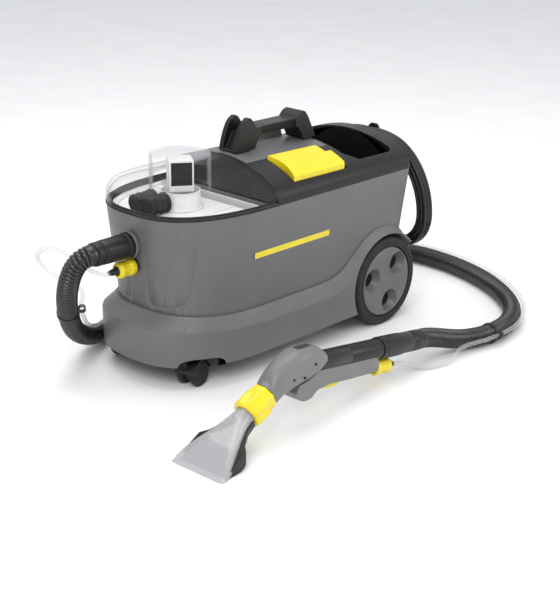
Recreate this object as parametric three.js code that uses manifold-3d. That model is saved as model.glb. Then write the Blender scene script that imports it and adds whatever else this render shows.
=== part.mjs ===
// Spray-extraction carpet cleaner: wheeled machine, lift-out waste tank, clear lid, suction hose and hand tool.
// Millimetres, +Z up, the machine's front (hose side) towards -X, the stripe side towards -Y.
import * as THREE from 'three';
import { mergeVertices } from 'three/addons/utils/BufferGeometryUtils.js';
import Module from 'manifold-3d';

const wasm = await Module();
wasm.setup();

// ---------------------------------------------------------------- driving dimensions
const GAP = 0.3; // air between two pieces that touch
const SEAM_X = -50; // where the clear lid meets the black cover
const RIM_Z = 311; // top edge of the grey body
const BODY_HALF = 147;
const BODY_FRONT = -277;
const BODY_REAR = 340;
const BODY_BOTTOM = 62;
const FRONT_DRAFT = 0.137; // how fast each face leans in below the rim
const SIDE_DRAFT = 0.03;
const REAR_DRAFT = 0.157;
const NOSE_POWER = 2.7; // exponent of the nose's superellipse
const CORNER_R = 18;
const WALL = 3.5;
const BUMPER_HALF = 158;
const BUMPER_FRONT = -290;
const BUMPER_REAR = 344;
const BUMPER_BOTTOM = 42;
const COVER_FRONT_RISE = 69; // crown of the black cover above the rim, at its front and rear
const COVER_REAR_RISE = 60.5;
const WHEEL_X = 258.6;
const WHEEL_Z = 91.4;
const TYRE_R = 91.4;
const DISC_R = 71.8;
const WHEEL_OUTER_Y = 157.5;
const WHEEL_INNER_Y = 120;
const WELL_R = 99;
const WELL_Y = 114;
const AXLE_R = 8;
const CASTER_X = -202;
const CASTER_Y = 92;
const CASTER_WHEEL_R = 24;
const CASTER_TRAIL = 15;
const CASTER_HEADING = THREE.MathUtils.degToRad(193.6); // where each caster's wheels trail, from +X
const CASTER_WEB = 7; // half the thickness of the fork's web between its two wheels
const CASTER_HALF = 21.5;
const DOME_X = -153.6;
const DOME_R = 56.1;
const DOME_TOP = 399;
const LID_WALL = 3;
const LID_Z = 315.3;
const SEAL_Z = [311.3, 315];
const PORT_Z = 256;
const SPRAY_Z = 214;
const HOSE_D = 38;
const CUFF_START_X = -281.4;
const CUFF_END_X = -360;
const TUBE_D = 8;
const LEAD_D = 7.5;
const HANK_X = [362, 388];
const TOOL_AT = [-437.6, -345.3, 0]; // the nozzle mouth's centre on the floor
const TOOL_HEADING = THREE.MathUtils.degToRad(1.5);
const GRIP_SLOPE = THREE.MathUtils.degToRad(-9);
const GRIP_START = [262, 101.2]; // along the tool, height
const GRIP_R = 19;
const NUT_SLOPE = THREE.MathUtils.degToRad(25);
const NUT_START = [103, 57];

// ---------------------------------------------------------------- materials
const plastic = (color, roughness = 0.55) => new THREE.MeshStandardMaterial({ color, roughness, metalness: 0 });
const clear = (color, opacity) => new THREE.MeshStandardMaterial({
  color, opacity, transparent: true, roughness: 0.08, metalness: 0,
});
const GREY = plastic(0x7d7d7d);
const LIGHT_GREY = plastic(0x8d8d8d);
const BLACK = plastic(0x2e2b2b);
const YELLOW = plastic(0xf8e62c, 0.4);
const RUBBER = plastic(0x3a3a3a, 0.85);
const WHITE = plastic(0xe9e9e6, 0.45);
const HOSE = plastic(0x303030, 0.6);
const CLEAR = clear(0xe8eef0, 0.3);
const STEEL = new THREE.MeshStandardMaterial({ color: 0xb8bbbd, roughness: 0.3, metalness: 1 });
const BRASS = new THREE.MeshStandardMaterial({ color: 0xb8923f, roughness: 0.35, metalness: 1 });

// ---------------------------------------------------------------- solids
function solid(geometry) {
  const bare = geometry.clone();
  bare.deleteAttribute('normal');
  bare.deleteAttribute('uv');
  const merged = mergeVertices(bare, 1e-4);
  const points = Float32Array.from(merged.attributes.position.array);
  const corners = Uint32Array.from(merged.index.array);
  if (signedVolume(points, corners) < 0) corners.reverse();
  return new wasm.Manifold(new wasm.Mesh({ numProp: 3, vertProperties: points, triVerts: corners }));
}

function signedVolume(points, corners) {
  const [a, b, c] = [new THREE.Vector3(), new THREE.Vector3(), new THREE.Vector3()];
  let total = 0;
  for (let i = 0; i < corners.length; i += 3) {
    a.fromArray(points, corners[i] * 3);
    b.fromArray(points, corners[i + 1] * 3);
    c.fromArray(points, corners[i + 2] * 3);
    total += a.dot(b.cross(c)) / 6;
  }
  return total;
}

function geometryOf(body) {
  const mesh = body.getMesh();
  const geometry = new THREE.BufferGeometry();
  geometry.setAttribute('position', new THREE.BufferAttribute(Float32Array.from(mesh.vertProperties), 3));
  geometry.setIndex(Array.from(mesh.triVerts));
  return geometry;
}

const join = (first, ...rest) => rest.reduce((whole, piece) => whole.add(piece), first);
const cut = (first, ...rest) => rest.reduce((whole, piece) => whole.subtract(piece), first);

// Turns a shape drawn with its length along +Z so that its length runs along the named axis.
const TO_AXIS = {
  x: new THREE.Matrix4().makeBasis(
    new THREE.Vector3(0, 1, 0), new THREE.Vector3(0, 0, 1), new THREE.Vector3(1, 0, 0)),
  y: new THREE.Matrix4().makeBasis(
    new THREE.Vector3(0, 0, 1), new THREE.Vector3(1, 0, 0), new THREE.Vector3(0, 1, 0)),
  z: new THREE.Matrix4(),
};

function box(x, y, z) {
  const geometry = new THREE.BoxGeometry(x[1] - x[0], y[1] - y[0], z[1] - z[0]);
  geometry.translate((x[0] + x[1]) / 2, (y[0] + y[1]) / 2, (z[0] + z[1]) / 2);
  return solid(geometry);
}

// A round bar, or a cone if two radii are given. The centre holds the two coordinates across the axis,
// in X, Y, Z order.
function rod(axis, radius, span, centre, sides = 14) {
  const [low, high] = Array.isArray(radius) ? radius : [radius, radius];
  const geometry = new THREE.CylinderGeometry(high, low, span[1] - span[0], sides);
  geometry.rotateX(Math.PI / 2);
  geometry.translate(0, 0, (span[0] + span[1]) / 2);
  geometry.applyMatrix4(TO_AXIS[axis]);
  const at = { x: [0, ...centre], y: [centre[0], 0, centre[1]], z: [...centre, 0] }[axis];
  geometry.translate(...at);
  return solid(geometry);
}

// An outline extruded along an axis. The outline's points hold the two coordinates across it, in X, Y, Z order.
function prism(axis, outline, span) {
  const drawn = axis === 'y' ? outline.map(([x, z]) => [z, x]) : outline;
  const shape = new THREE.Shape(drawn.map(([u, v]) => new THREE.Vector2(u, v)));
  const geometry = new THREE.ExtrudeGeometry(shape, { depth: span[1] - span[0], bevelEnabled: false });
  geometry.translate(0, 0, span[0]);
  geometry.applyMatrix4(TO_AXIS[axis]);
  return solid(geometry);
}

// A turned solid: profile points are [radius, height], closed along the axis or on themselves.
function turned(profile, sides = 14, startAngle = 0) {
  const geometry = new THREE.LatheGeometry(profile.map(([r, h]) => new THREE.Vector2(r, h)), sides, startAngle);
  geometry.rotateX(Math.PI / 2);
  return solid(geometry);
}

const pipe = (outer, inner, from, to, sides = 14) =>
  turned([[inner, from], [outer, from], [outer, to], [inner, to], [inner, from]], sides);

// A skin through rings of points, with a flat or fanned cap at each end.
function loft(rings) {
  const count = rings[0].length;
  const points = rings.flat();
  const corners = [];
  for (let k = 0; k < rings.length - 1; k += 1) {
    for (let i = 0; i < count; i += 1) {
      const [a, b] = [k * count + i, k * count + (i + 1) % count];
      corners.push(a, b, b + count, a, b + count, a + count);
    }
  }
  for (const [ring, turn] of [[0, -1], [rings.length - 1, 1]]) {
    const middle = new THREE.Vector3();
    rings[ring].forEach((p) => middle.addScaledVector(p, 1 / count));
    points.push(middle);
    for (let i = 0; i < count; i += 1) {
      const [a, b] = [ring * count + i, ring * count + (i + 1) % count];
      corners.push(...(turn > 0 ? [a, b, points.length - 1] : [b, a, points.length - 1]));
    }
  }
  const geometry = new THREE.BufferGeometry().setFromPoints(points);
  geometry.setIndex(corners);
  return solid(geometry);
}

// A round cord or bar along hand-chosen points.
function cordAlong(points, diameter, sides, steps) {
  const path = new THREE.CatmullRomCurve3(points.map((p) => new THREE.Vector3(...p)), false, 'centripetal');
  const section = new THREE.Shape();
  for (let i = 0; i < sides; i += 1) {
    const angle = (i / sides) * 2 * Math.PI;
    section[i ? 'lineTo' : 'moveTo'](Math.cos(angle) * diameter / 2, Math.sin(angle) * diameter / 2);
  }
  return solid(new THREE.ExtrudeGeometry(section, { extrudePath: path, steps, bevelEnabled: false }));
}

// Moves a solid drawn along +Z to start at a point and lean in the X-Z plane by an angle from +X.
function aim(body, [x, z], slope) {
  return body.rotate([0, 90 - THREE.MathUtils.radToDeg(slope), 0]).translate([x, 0, z]);
}

const mirrorY = (body) => body.mirror([0, 1, 0]);

function curveValue(table, x) {
  if (x <= table[0][0]) return table[0][1];
  for (let i = 1; i < table.length; i += 1) {
    const [[x0, v0], [x1, v1]] = [table[i - 1], table[i]];
    if (x <= x1) return v0 + (v1 - v0) * (x - x0) / (x1 - x0);
  }
  return table[table.length - 1][1];
}

// ---------------------------------------------------------------- plan outline of the machine
// Stations along each straight side, closer together over the wheel arch.
const SIDE_STATIONS = [322, 302, 281, 258, 235, 212, 190, 168, 145, 110, -50];
const NOSE_STEPS = 12;
const CORNER_STEPS = 2;

// One ring of the plan. heightAt gives each point's height from its place along the machine.
function planRing(halfWidth, front, rear, heightAt) {
  const ring = [];
  const side = [];
  const sideEnd = rear - CORNER_R;
  for (let i = CORNER_STEPS; i > 0; i -= 1) {
    const angle = (i / CORNER_STEPS) * Math.PI / 2;
    side.push([sideEnd + CORNER_R * Math.sin(angle), -halfWidth + CORNER_R * (1 - Math.cos(angle))]);
  }
  const stretch = (sideEnd - SEAM_X) / (SIDE_STATIONS[0] - SEAM_X);
  for (const x of SIDE_STATIONS) side.push([SEAM_X + (x - SEAM_X) * stretch, -halfWidth]);
  const nose = [];
  for (let i = 1; i < NOSE_STEPS; i += 1) {
    const angle = (i / NOSE_STEPS) * Math.PI;
    const [c, s] = [Math.abs(Math.cos(angle)), Math.sin(angle)];
    const y = -Math.sign(Math.cos(angle)) * halfWidth * c ** (2 / NOSE_POWER);
    nose.push([SEAM_X - (SEAM_X - front) * s ** (2 / NOSE_POWER), y || 0]);
  }
  const far = side.map(([x, y]) => [x, -y]).reverse();
  for (const [x, y] of [...side, ...nose, ...far]) ring.push(new THREE.Vector3(x, y, heightAt(x)));
  return ring;
}

// The body's skin at a height, grown outwards by some distance.
function bodyRing(z, grow = 0) {
  const below = RIM_Z - z;
  return planRing(
    BODY_HALF - SIDE_DRAFT * below + grow,
    BODY_FRONT + FRONT_DRAFT * below - grow,
    BODY_REAR - REAR_DRAFT * Math.min(below, 130) + grow,
    () => z,
  );
}

const bodySolid = (from, to, grow) => loft([from, 181, to].sort((a, b) => a - b).map((z) => bodyRing(z, grow)));

const noseHalf = (x, front = BODY_FRONT, half = BODY_HALF) => {
  const u = Math.min(1, Math.max(0, (SEAM_X - x) / (SEAM_X - front)));
  return half * (1 - u ** NOSE_POWER) ** (1 / NOSE_POWER);
};

// ---------------------------------------------------------------- arched section of cover and lid
// Fractions of half-width and of rise, from the edge to the crown.
const ARCH = [[1, 0], [0.99, 0.17], [0.878, 0.508], [0.62, 0.77], [0.35, 0.925], [0, 1]];
const BOXY = [[1, 0], [0.998, 0.66], [0.95, 0.86], [0.7, 0.95], [0.4, 0.985], [0, 1]];

function archSection(x, half, base, crown, boxiness = 0) {
  const near = ARCH.map(([w, r], i) => {
    const [bw, br] = BOXY[i];
    return [-half * (w + (bw - w) * boxiness), base + (crown - base) * (r + (br - r) * boxiness)];
  });
  const far = near.slice(0, -1).reverse().map(([y, z]) => [-y, z]);
  return [...near, ...far].map(([y, z]) => new THREE.Vector3(x, y, z));
}

const coverCrown = (x) => RIM_Z + COVER_FRONT_RISE
  + (COVER_REAR_RISE - COVER_FRONT_RISE) * (x - SEAM_X) / (BODY_REAR - SEAM_X);

// The cover's arched block between two stations, moved in or out by an offset.
function coverBlock(from, to, offset, base = RIM_Z + GAP) {
  return loft([from, to].map((x) => archSection(x, BODY_HALF + offset, base, coverCrown(x) + offset)));
}

// ---------------------------------------------------------------- lower machine
const ARCH_TOP_LINE = [
  [-290, 156], [-255, 156], [-150, 138], [-40, 130], [90, 131], [118, 136], [139, 145], [165, 165], [195, 188],
  [225, 201], [256, 205], [287, 201], [312, 186], [330, 164], [344, 146],
];
const ARCH_LOW_LINE = [
  [-290, 113], [-240, 112], [-100, 104], [90, 104], [125, 110], [152, 128], [175, 152], [195, 172], [225, 188],
  [256, 192], [287, 188], [312, 174], [330, 152], [344, 126],
];

function wheelWell(radius, fromY, toY, side) {
  const tunnel = rod('y', radius, [fromY, toY], [WHEEL_X, WHEEL_Z], 28);
  return side > 0 ? tunnel : mirrorY(tunnel);
}

function chassisBumper() {
  const outer = loft([
    planRing(BUMPER_HALF - 4, BUMPER_FRONT + 6, BUMPER_REAR - 6, () => BUMPER_BOTTOM),
    planRing(BUMPER_HALF, BUMPER_FRONT + 2, BUMPER_REAR - 1, () => BUMPER_BOTTOM + 5),
    planRing(BUMPER_HALF, BUMPER_FRONT, BUMPER_REAR, (x) => curveValue(ARCH_LOW_LINE, x)),
    planRing(BODY_HALF - 1.5, BODY_FRONT + 18, BUMPER_REAR - 10, (x) => curveValue(ARCH_TOP_LINE, x)),
  ]);
  let tray = cut(outer, bodySolid(BODY_BOTTOM - GAP, 330, GAP));
  const pocket = loft([30, 57].map((z) => planRing(BODY_HALF - 7, BODY_FRONT + 26, BUMPER_REAR - 14, () => z)));
  tray = cut(tray, pocket);
  const envelope = loft([40, 300].map((z) => planRing(BUMPER_HALF - 1, BUMPER_FRONT, BUMPER_REAR - 1, () => z)));
  for (const side of [-1, 1]) {
    const liner = wheelWell(WELL_R + 3.4, WELL_Y - 3, BUMPER_HALF - 3, side).intersect(envelope);
    const lowCut = box([100, 380], [-200, 200], [-50, BUMPER_BOTTOM + 2]);
    tray = join(tray, cut(liner, lowCut));
    tray = cut(tray, wheelWell(WELL_R, WELL_Y, 220, side));
    const boss = wheelWell(20, WELL_Y - 1, WHEEL_INNER_Y - 1, side);
    tray = cut(join(tray, boss), wheelWell(AXLE_R + GAP, WELL_Y - 1.5, 130, side));
    const recess = rod('z', 57, [20, 60], [CASTER_X, side * CASTER_Y], 40);
    const roof = box([CASTER_X - 60, CASTER_X + 60], [side > 0 ? 40 : -170, side > 0 ? 170 : -40], [56, 66]);
    const ceiling = rod('z', 59, [56.5, 61.4], [CASTER_X, side * CASTER_Y], 40);
    tray = join(cut(tray, cut(recess, roof)), ceiling.intersect(outer));
    tray = cut(tray, rod('z', 9 + GAP, [50, 59], [CASTER_X, side * CASTER_Y], 20));
  }
  return tray;
}

function freshWaterTank() {
  const outer = bodySolid(BODY_BOTTOM, RIM_Z - GAP, 0);
  let hollow = bodySolid(BODY_BOTTOM + WALL, 330, -WALL);
  hollow = cut(hollow, box([-58, -54], [-150, 150], [40, RIM_Z - 4]));
  hollow = cut(hollow, box([164, 168], [-150, 150], [40, 175]));
  for (const side of [-1, 1]) hollow = cut(hollow, wheelWell(WELL_R + 7, WELL_Y - 7, 200, side));
  let shell = cut(outer, hollow);
  for (const side of [-1, 1]) shell = cut(shell, wheelWell(WELL_R + 3.4 + GAP, WELL_Y - 3 - GAP, 220, side));
  shell = cut(shell, rod('x', 21.6, [-300, -250], [0, PORT_Z], 28));
  shell = cut(shell, rod('x', 9.4, [-300, -240], [0, SPRAY_Z], 20));
  shell = cut(shell, rod('x', 9.4, [320, 350], [80, 285], 20));
  return shell;
}

function baseCover() {
  const outline = [[-150, -70], [-130, -95], [120, -95], [150, -80], [150, 80], [120, 95], [-130, 95], [-150, 70]];
  let plate = prism('z', outline, [44, 47.5]);
  plate = join(plate, prism('z', outline.map(([x, y]) => [x * 0.93, y * 0.9]), [47.4, 56.5]));
  return cut(plate, box([-128, 128], [-76, 76], [47.5, 60]));
}

// ---------------------------------------------------------------- black cover and what is on it
const FILL = { x: [178, 305], y: 122, chamfer: 24, wall: 3 };
const PAD = { front: 6, rear: 137, tail: 152, inner: -64.5, split: -90.5, outer: -132 };
const DECK = { x: [-46.5, 174], y: 61 };

const fillOutline = (inset) => {
  const [x0, x1, y, c] = [FILL.x[0] + inset, FILL.x[1] - inset, FILL.y - inset, FILL.chamfer];
  return [[x0, -y + c], [x0 + c, -y], [x1 - 10, -y], [x1, -y + 10], [x1, y - 10], [x1 - 10, y], [x0 + c, y], [x0, y - c]];
};

const padOutline = (grow) => [
  [PAD.front - grow, PAD.outer - grow], [PAD.tail + grow, PAD.outer - grow], [PAD.tail + grow, PAD.split + grow],
  [PAD.rear + grow, PAD.split + grow], [PAD.rear + grow, PAD.inner + grow], [PAD.front - grow, PAD.inner + grow],
];

function topFrame() {
  let cover = coverBlock(SEAM_X, BODY_REAR + 4, 0).intersect(loft([300, 420].map((z) => planRing(
    BODY_HALF, BODY_FRONT, BODY_REAR, () => z))));
  const inner = coverBlock(SEAM_X + 3, BODY_REAR - 3, -3, 290);
  cover = cut(cover, inner);
  cover = cut(cover, prism('z', fillOutline(-FILL.wall - GAP), [215, 420]));
  cover = cut(cover, prism('z', padOutline(1.3), [300, 420]));
  cover = cut(cover, box([DECK.x[0], DECK.x[1]], [-DECK.y, DECK.y], [320, 420]));
  return cover;
}

// The basin under the fill opening: an open-topped insert with a hole for the water filter in its floor.
function fillLiner() {
  const basin = cut(prism('z', fillOutline(-FILL.wall), [203, 400]), prism('z', fillOutline(0), [206, 410]));
  const under = join(coverBlock(SEAM_X, BODY_REAR, -0.5, 300), box([160, 320], [-135, 135], [190, 312]));
  return cut(basin.intersect(under), rod('z', 24, [195, 215], [234, 0], 20));
}

function deckPlate() {
  const slab = cut(coverBlock(SEAM_X, 200, 0.2), coverBlock(SEAM_X - 5, 205, -3.2, 280));
  const patch = box([DECK.x[0] + GAP, DECK.x[1] - GAP], [-DECK.y + GAP, DECK.y - GAP], [330, 420]);
  const hump = box([84, 150], [32, DECK.y - GAP], [368, 389]).intersect(
    prism('x', [[30, 360], [36, 388], [52, 388], [62, 378], [62, 360]], [80, 155]));
  return join(slab.intersect(patch), hump.subtract(coverBlock(60, 160, -3.2, 280)));
}

// The cap's rounded slab that follows the arch; its front edge is hollowed in a shallow curve.
function switchCap(outline) {
  const slab = cut(coverBlock(-20, 200, 7), coverBlock(-25, 205, -4, 280));
  return slab.intersect(prism('z', outline, [320, 420]));
}

function suctionSwitch() {
  const { front, rear, inner, split } = PAD;
  return switchCap([[front + 8, split + GAP], [rear, split + GAP], [rear, inner], [front, inner]]);
}

function spraySwitch() {
  const { front, tail, outer, split } = PAD;
  return switchCap([
    [front, outer], [tail - 6, outer], [tail, outer + 6], [tail, split - GAP], [front + 8, split - GAP], [front + 7, split - 20],
  ]);
}

const HANDLE_HALF = 23;

function carryHandle() {
  const side = [
    [-35, 380.6], [-32, 396], [-24, 418], [-13, 435], [-3, 442], [5, 441], [13, 432], [18, 421], [128, 421],
    [136, 430], [148, 434], [158, 429], [170, 408], [186, 376.6], [150, 376.6], [140, 396], [132, 404], [34, 404],
    [24, 396], [16, 380.6],
  ];
  let handle = prism('y', side, [-HANDLE_HALF, HANDLE_HALF]);
  handle = cut(handle, box([-60, 17], [-12, 13], [413, 460]));
  handle = cut(handle, prism('y', [[-60, 386], [-24, 386], [-8, 413], [-60, 413]], [-12, 13]));
  for (const flank of [-1, 1]) {
    const slit = prism('x', [[flank * 30, 402], [flank * 16, 402], [flank * 20, 421.5], [flank * 30, 421.5]], [34, 128]);
    handle = cut(handle, slit);
  }
  return handle;
}

// ---------------------------------------------------------------- waste tank, lid and float
function wasteTank() {
  const outline = (z, grow) => planRing(
    BODY_HALF - SIDE_DRAFT * (RIM_Z - z) - WALL - 4 + grow, BODY_FRONT + FRONT_DRAFT * (RIM_Z - z) + WALL + 4 - grow,
    BODY_REAR, () => z);
  const trim = (grow) => box([-400, -61 + grow], [-200, 200], [0, 400]);
  const outer = loft([72, 306].map((z) => outline(z, 0))).intersect(trim(0));
  const inner = loft([75, 330].map((z) => outline(z, -2.6))).intersect(trim(-2.6));
  const port = rod('x', 17, [-290, -250], [0, PORT_Z], 24);
  return cut(outer, inner, port);
}

function tankDeck() {
  const outline = (z) => planRing(
    BODY_HALF - WALL - 8, BODY_FRONT + WALL + 9.8, BODY_REAR, () => z);
  let deck = loft([297, 300].map(outline)).intersect(box([-400, -82], [-200, 200], [290, 310]));
  const lip = loft([299.9, 305].map(outline)).intersect(box([-400, -82], [-200, 200], [290, 310]));
  const lipHole = loft([298, 307].map((z) => planRing(BODY_HALF - WALL - 16, BODY_FRONT + WALL + 17, BODY_REAR, () => z)));
  deck = join(deck, cut(lip, lipHole.intersect(box([-400, -90], [-200, 200], [290, 310]))));
  deck = cut(deck, rod('z', 38, [280, 320], [DOME_X, 0], 24));
  return cut(deck, box([-246, -205], [-14, 34], [280, 320]));
}

// Inlet bend: a riser from the suction port with two spool-shaped outlets side by side.
function inletElbow() {
  const riser = rod('z', 16, [243, 322], [-226, 8], 16);
  const inlet = rod('x', 14, [-254, -226], [0, PORT_Z], 16);
  let bend = join(riser, inlet);
  for (const y of [-6, 26]) {
    bend = join(bend, rod('x', 15, [-240, -198], [y, 318.4], 16), rod('x', 17.5, [-201, -196], [y, 318.4], 16));
  }
  bend = cut(bend, rod('x', 11, [-260, -226], [0, PORT_Z], 16), rod('z', 12, [248, 316], [-226, 8], 16));
  for (const y of [-6, 26]) bend = cut(bend, rod('x', 11.5, [-232, -190], [y, 318.4], 16));
  return bend;
}

function floatCage() {
  const wall = pipe(37, 35, 250, 333, 18).translate([DOME_X, 0, 0]);
  const floor = rod('z', 36, [250, 253], [DOME_X, 0]);
  const collar = pipe(42, 36, 300.4, 303).translate([DOME_X, 0, 0]);
  let cage = join(wall, floor, collar);
  for (let i = 0; i < 4; i += 1) {
    const slot = box([30, 40], [-11, 11], [262, 290]).rotate([0, 0, 45 + i * 90]).translate([DOME_X, 0, 0]);
    cage = cut(cage, slot);
  }
  return cut(cage, rod('z', 8, [240, 260], [DOME_X, 0], 16));
}

function floatBall() {
  return turned([[0, 254.5], [20, 254.5], [27, 261], [27, 276], [20, 284], [6, 286], [0, 286]], 28).translate([DOME_X, 0, 0]);
}

function lintFilter() {
  let block = box([DOME_X - 20, DOME_X + 20], [-20, 20], [333.4, 378]);
  block = cut(block, box([DOME_X - 17, DOME_X + 17], [-17, 17], [330, 375]));
  return block;
}

function lidBlock(offset, base, fromX) {
  const stations = [fromX, -110, -160, -200, -235, -260, -272, -276.5];
  const rings = stations.map((x) => {
    const reach = BODY_FRONT - offset;
    const at = x === fromX ? x : Math.max(SEAM_X - (SEAM_X - x) * (SEAM_X - reach) / (SEAM_X - BODY_FRONT), reach);
    const half = noseHalf(at, reach, BODY_HALF + offset);
    const crown = curveValue([[-277, 337], [-262, 341], [-235, 345], [-200, 351], [-98, 368], [SEAM_X, 380]], x);
    const boxiness = Math.min(1, Math.max(0, (SEAM_X - x - 20) / 130));
    return archSection(at, half, base, crown + offset, boxiness);
  });
  return loft(rings);
}

function lid() {
  let shell = cut(lidBlock(-0.2, LID_Z, SEAM_X - GAP), lidBlock(-LID_WALL, LID_Z - 20, SEAM_X - LID_WALL));
  const neck = rod('z', DOME_R, [337, DOME_TOP], [DOME_X, 0], 24);
  const lens = rod('z', [DOME_R, DOME_R - 2.5], [DOME_TOP - 0.1, DOME_TOP + 1.5], [DOME_X, 0], 24);
  shell = join(shell, neck, lens);
  return cut(shell, rod('z', DOME_R - LID_WALL, [300, DOME_TOP - 3], [DOME_X, 0], 24));
}

function lidSeal() {
  const ring = (grow) => SEAL_Z.map((z, i) => planRing(
    BODY_HALF + grow, BODY_FRONT - grow, BODY_REAR, () => (grow < 0 ? z + (i ? 5 : -5) : z)));
  const outer = loft(ring(0.6)).intersect(box([-400, SEAM_X - GAP], [-200, 200], [300, 330]));
  const inner = loft(ring(-9)).intersect(box([-400, SEAM_X - 8], [-200, 200], [300, 330]));
  return cut(outer, inner);
}

// ---------------------------------------------------------------- running gear
function wheelDisc() {
  const half = (WHEEL_OUTER_Y - WHEEL_INNER_Y) / 2;
  let disc = turned([
    [AXLE_R + GAP, -half + 1], [24, -half + 1], [30, -half + 6], [DISC_R, -half + 6], [DISC_R, half - 4], [69, half],
    [20, half - 1.5], [0, half - 1.5], [0, half - 5], [AXLE_R + GAP, half - 5], [AXLE_R + GAP, -half + 1],
  ], 28);
  for (const degrees of [45, 165, 285]) {
    const angle = THREE.MathUtils.degToRad(degrees);
    const scoop = rod('z', [17, 24.5], [half - 17, half + 1], [45 * Math.cos(angle), 45 * Math.sin(angle)], 14);
    disc = cut(disc, scoop);
  }
  return disc;
}

function tyre() {
  const half = (WHEEL_OUTER_Y - WHEEL_INNER_Y) / 2;
  return turned([
    [DISC_R + GAP, -half], [84, -half], [89.5, -half + 4], [TYRE_R, -half + 10], [TYRE_R, half - 10],
    [89.5, half - 4], [84, half], [75, half], [DISC_R + GAP, half - 3], [DISC_R + GAP, -half],
  ], 28);
}

function axleStub() {
  return join(rod('y', AXLE_R - 0.05, [WELL_Y + 0.2, 150], [0, 0], 24), rod('y', AXLE_R - 1.5, [149, 151.5], [0, 0], 24));
}

// Twin-wheel caster: a web between the wheels, with a hood over them.
function casterFork() {
  const stem = rod('z', 9, [54, 58.6], [0, 0], 16);
  const plate = rod('z', 24, [51.5, 55.7], [0, 0], 16);
  const axle = [CASTER_TRAIL, CASTER_WHEEL_R];
  const hood = rod('y', CASTER_WHEEL_R + 4.5, [-CASTER_HALF, CASTER_HALF], axle, 20)
    .intersect(box([-20, CASTER_TRAIL + 40], [-CASTER_HALF, CASTER_HALF], [CASTER_WHEEL_R + 4, 52]));
  const web = rod('y', 17, [-CASTER_WEB, CASTER_WEB], axle, 20);
  const neck = box([-8, CASTER_TRAIL + 16], [-CASTER_WEB, CASTER_WEB], [CASTER_WHEEL_R, 52]);
  let fork = join(stem, plate, hood, web, neck);
  for (const side of [-1, 1]) {
    const span = [side * CASTER_WEB, side * (CASTER_HALF + 1)].sort((a, b) => a - b);
    fork = cut(fork, rod('y', CASTER_WHEEL_R + 1.5, span, axle, 28));
  }
  return cut(fork, rod('y', 3.3, [-20, 20], axle, 16));
}

function casterWheels() {
  const disc = turned([[0, 0], [15, 0], [CASTER_WHEEL_R - 1, 1.5], [CASTER_WHEEL_R, 4], [CASTER_WHEEL_R, 9.5],
    [CASTER_WHEEL_R - 1.5, 12.5], [19, 13.5], [0, 12]], 20).rotate([-90, 0, 0]).translate([0, CASTER_WEB + 0.7, 0]);
  return join(disc, mirrorY(disc), rod('y', 3, [-9, 9], [0, 0], 16)).translate([CASTER_TRAIL, 0, CASTER_WHEEL_R]);
}

// ---------------------------------------------------------------- working parts inside
function vacuumMotor() {
  const can = turned([[0, 222], [52, 222], [56, 226], [56, 292], [48, 304], [20, 308], [0, 308]], 36);
  return can.translate([52, 8, 0]);
}

function fanHousing() {
  const drum = turned([[0, 168], [64, 168], [68, 172], [68, 214], [60, 221.6], [0, 221.6]], 36).translate([52, 8, 0]);
  return join(drum, rod('x', 16, [-30, 0], [8, 192], 24), rod('z', 20, [150, 170], [52, 8], 24));
}

function sprayPump() {
  const head = box([40, 96], [-128, -86], [100, 142]);
  return join(head, rod('x', 18, [-18, 42], [-107, 121], 24), rod('z', 6, [141, 152], [60, -107], 16));
}

function pumpLine() {
  return cordAlong([[60, -107, 152.4], [60, -107, 164], [40, -107, 172], [0, -105, 174], [-30, -100, 174], [-46, -98, 174]],
    9, 10, 16);
}

function waterFilter() {
  return turned([[0, 166], [20, 168], [22, 172], [22, 199], [30, 199.5], [30, 202.5], [19, 202.5], [19, 174], [0, 171]])
    .translate([234, 0, 0]);
}

// ---------------------------------------------------------------- ports, couplings, cable storage
function suctionPort() {
  const flange = cut(rod('x', 25, [-281, -262], [0, PORT_Z], 28), bodySolid(200, 300, GAP));
  const tube = rod('x', 21.2, [-280, -266.3], [0, PORT_Z], 28);
  return cut(join(flange, tube), rod('x', 14, [-290, -250], [0, PORT_Z]));
}

function machineCuff() {
  const length = CUFF_START_X - CUFF_END_X;
  const cuff = turned([[16, 0], [23, 0], [23.5, 3], [23.5, 8], [22.6, 10], [21.8, length - 6], [20.6, length],
    [16, length], [16, 0]], 20);
  return cuff.rotate([0, -90, 0]).translate([CUFF_START_X, 0, PORT_Z]);
}

function sprayPort() {
  return join(pipe(9, 3, 0, 24), pipe(13, 3, 0, 2)).rotate([0, -90, 0]).translate([-265.9, 0, SPRAY_Z]);
}

// Yellow ribbed quick-coupling sleeve around +Z, with a through hole.
function couplingSleeve(length, radius) {
  const sleeve = turned([
    [9.4, 0], [radius - 3, 0], [radius, 3], [radius, length * 0.32], [radius - 1.6, length * 0.36],
    [radius - 1.6, length * 0.7], [radius, length * 0.74], [radius, length - 5], [radius - 4, length], [9.4, length], [9.4, 0],
  ], 18);
  return sleeve;
}

function nipple(length) {
  return turned([[2.4, 0], [8.8, 0], [8.8, 9], [6.2, 11], [6.2, length * 0.6], [4.6, length], [2.4, length], [2.4, 0]], 12);
}

function hankOutline(inset) {
  const half = [[0, 366], [45, 364], [88, 351], [130, 318], [158, 274], [172, 224], [172, 184], [156, 150], [122, 126], [70, 114], [0, 111]];
  const whole = [...half, ...half.slice(1, -1).reverse().map(([y, z]) => [-y, z])];
  const middle = [0, 238];
  return whole.map(([y, z]) => {
    const [dy, dz] = [y - middle[0], z - middle[1]];
    const far = Math.hypot(dy, dz);
    return [middle[0] + dy * (far - inset) / far, middle[1] + dz * (far - inset) / far];
  });
}

function powerHank() {
  return cut(prism('x', hankOutline(0), HANK_X), prism('x', hankOutline(32), [HANK_X[0] - 5, HANK_X[1] + 5]));
}

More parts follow.
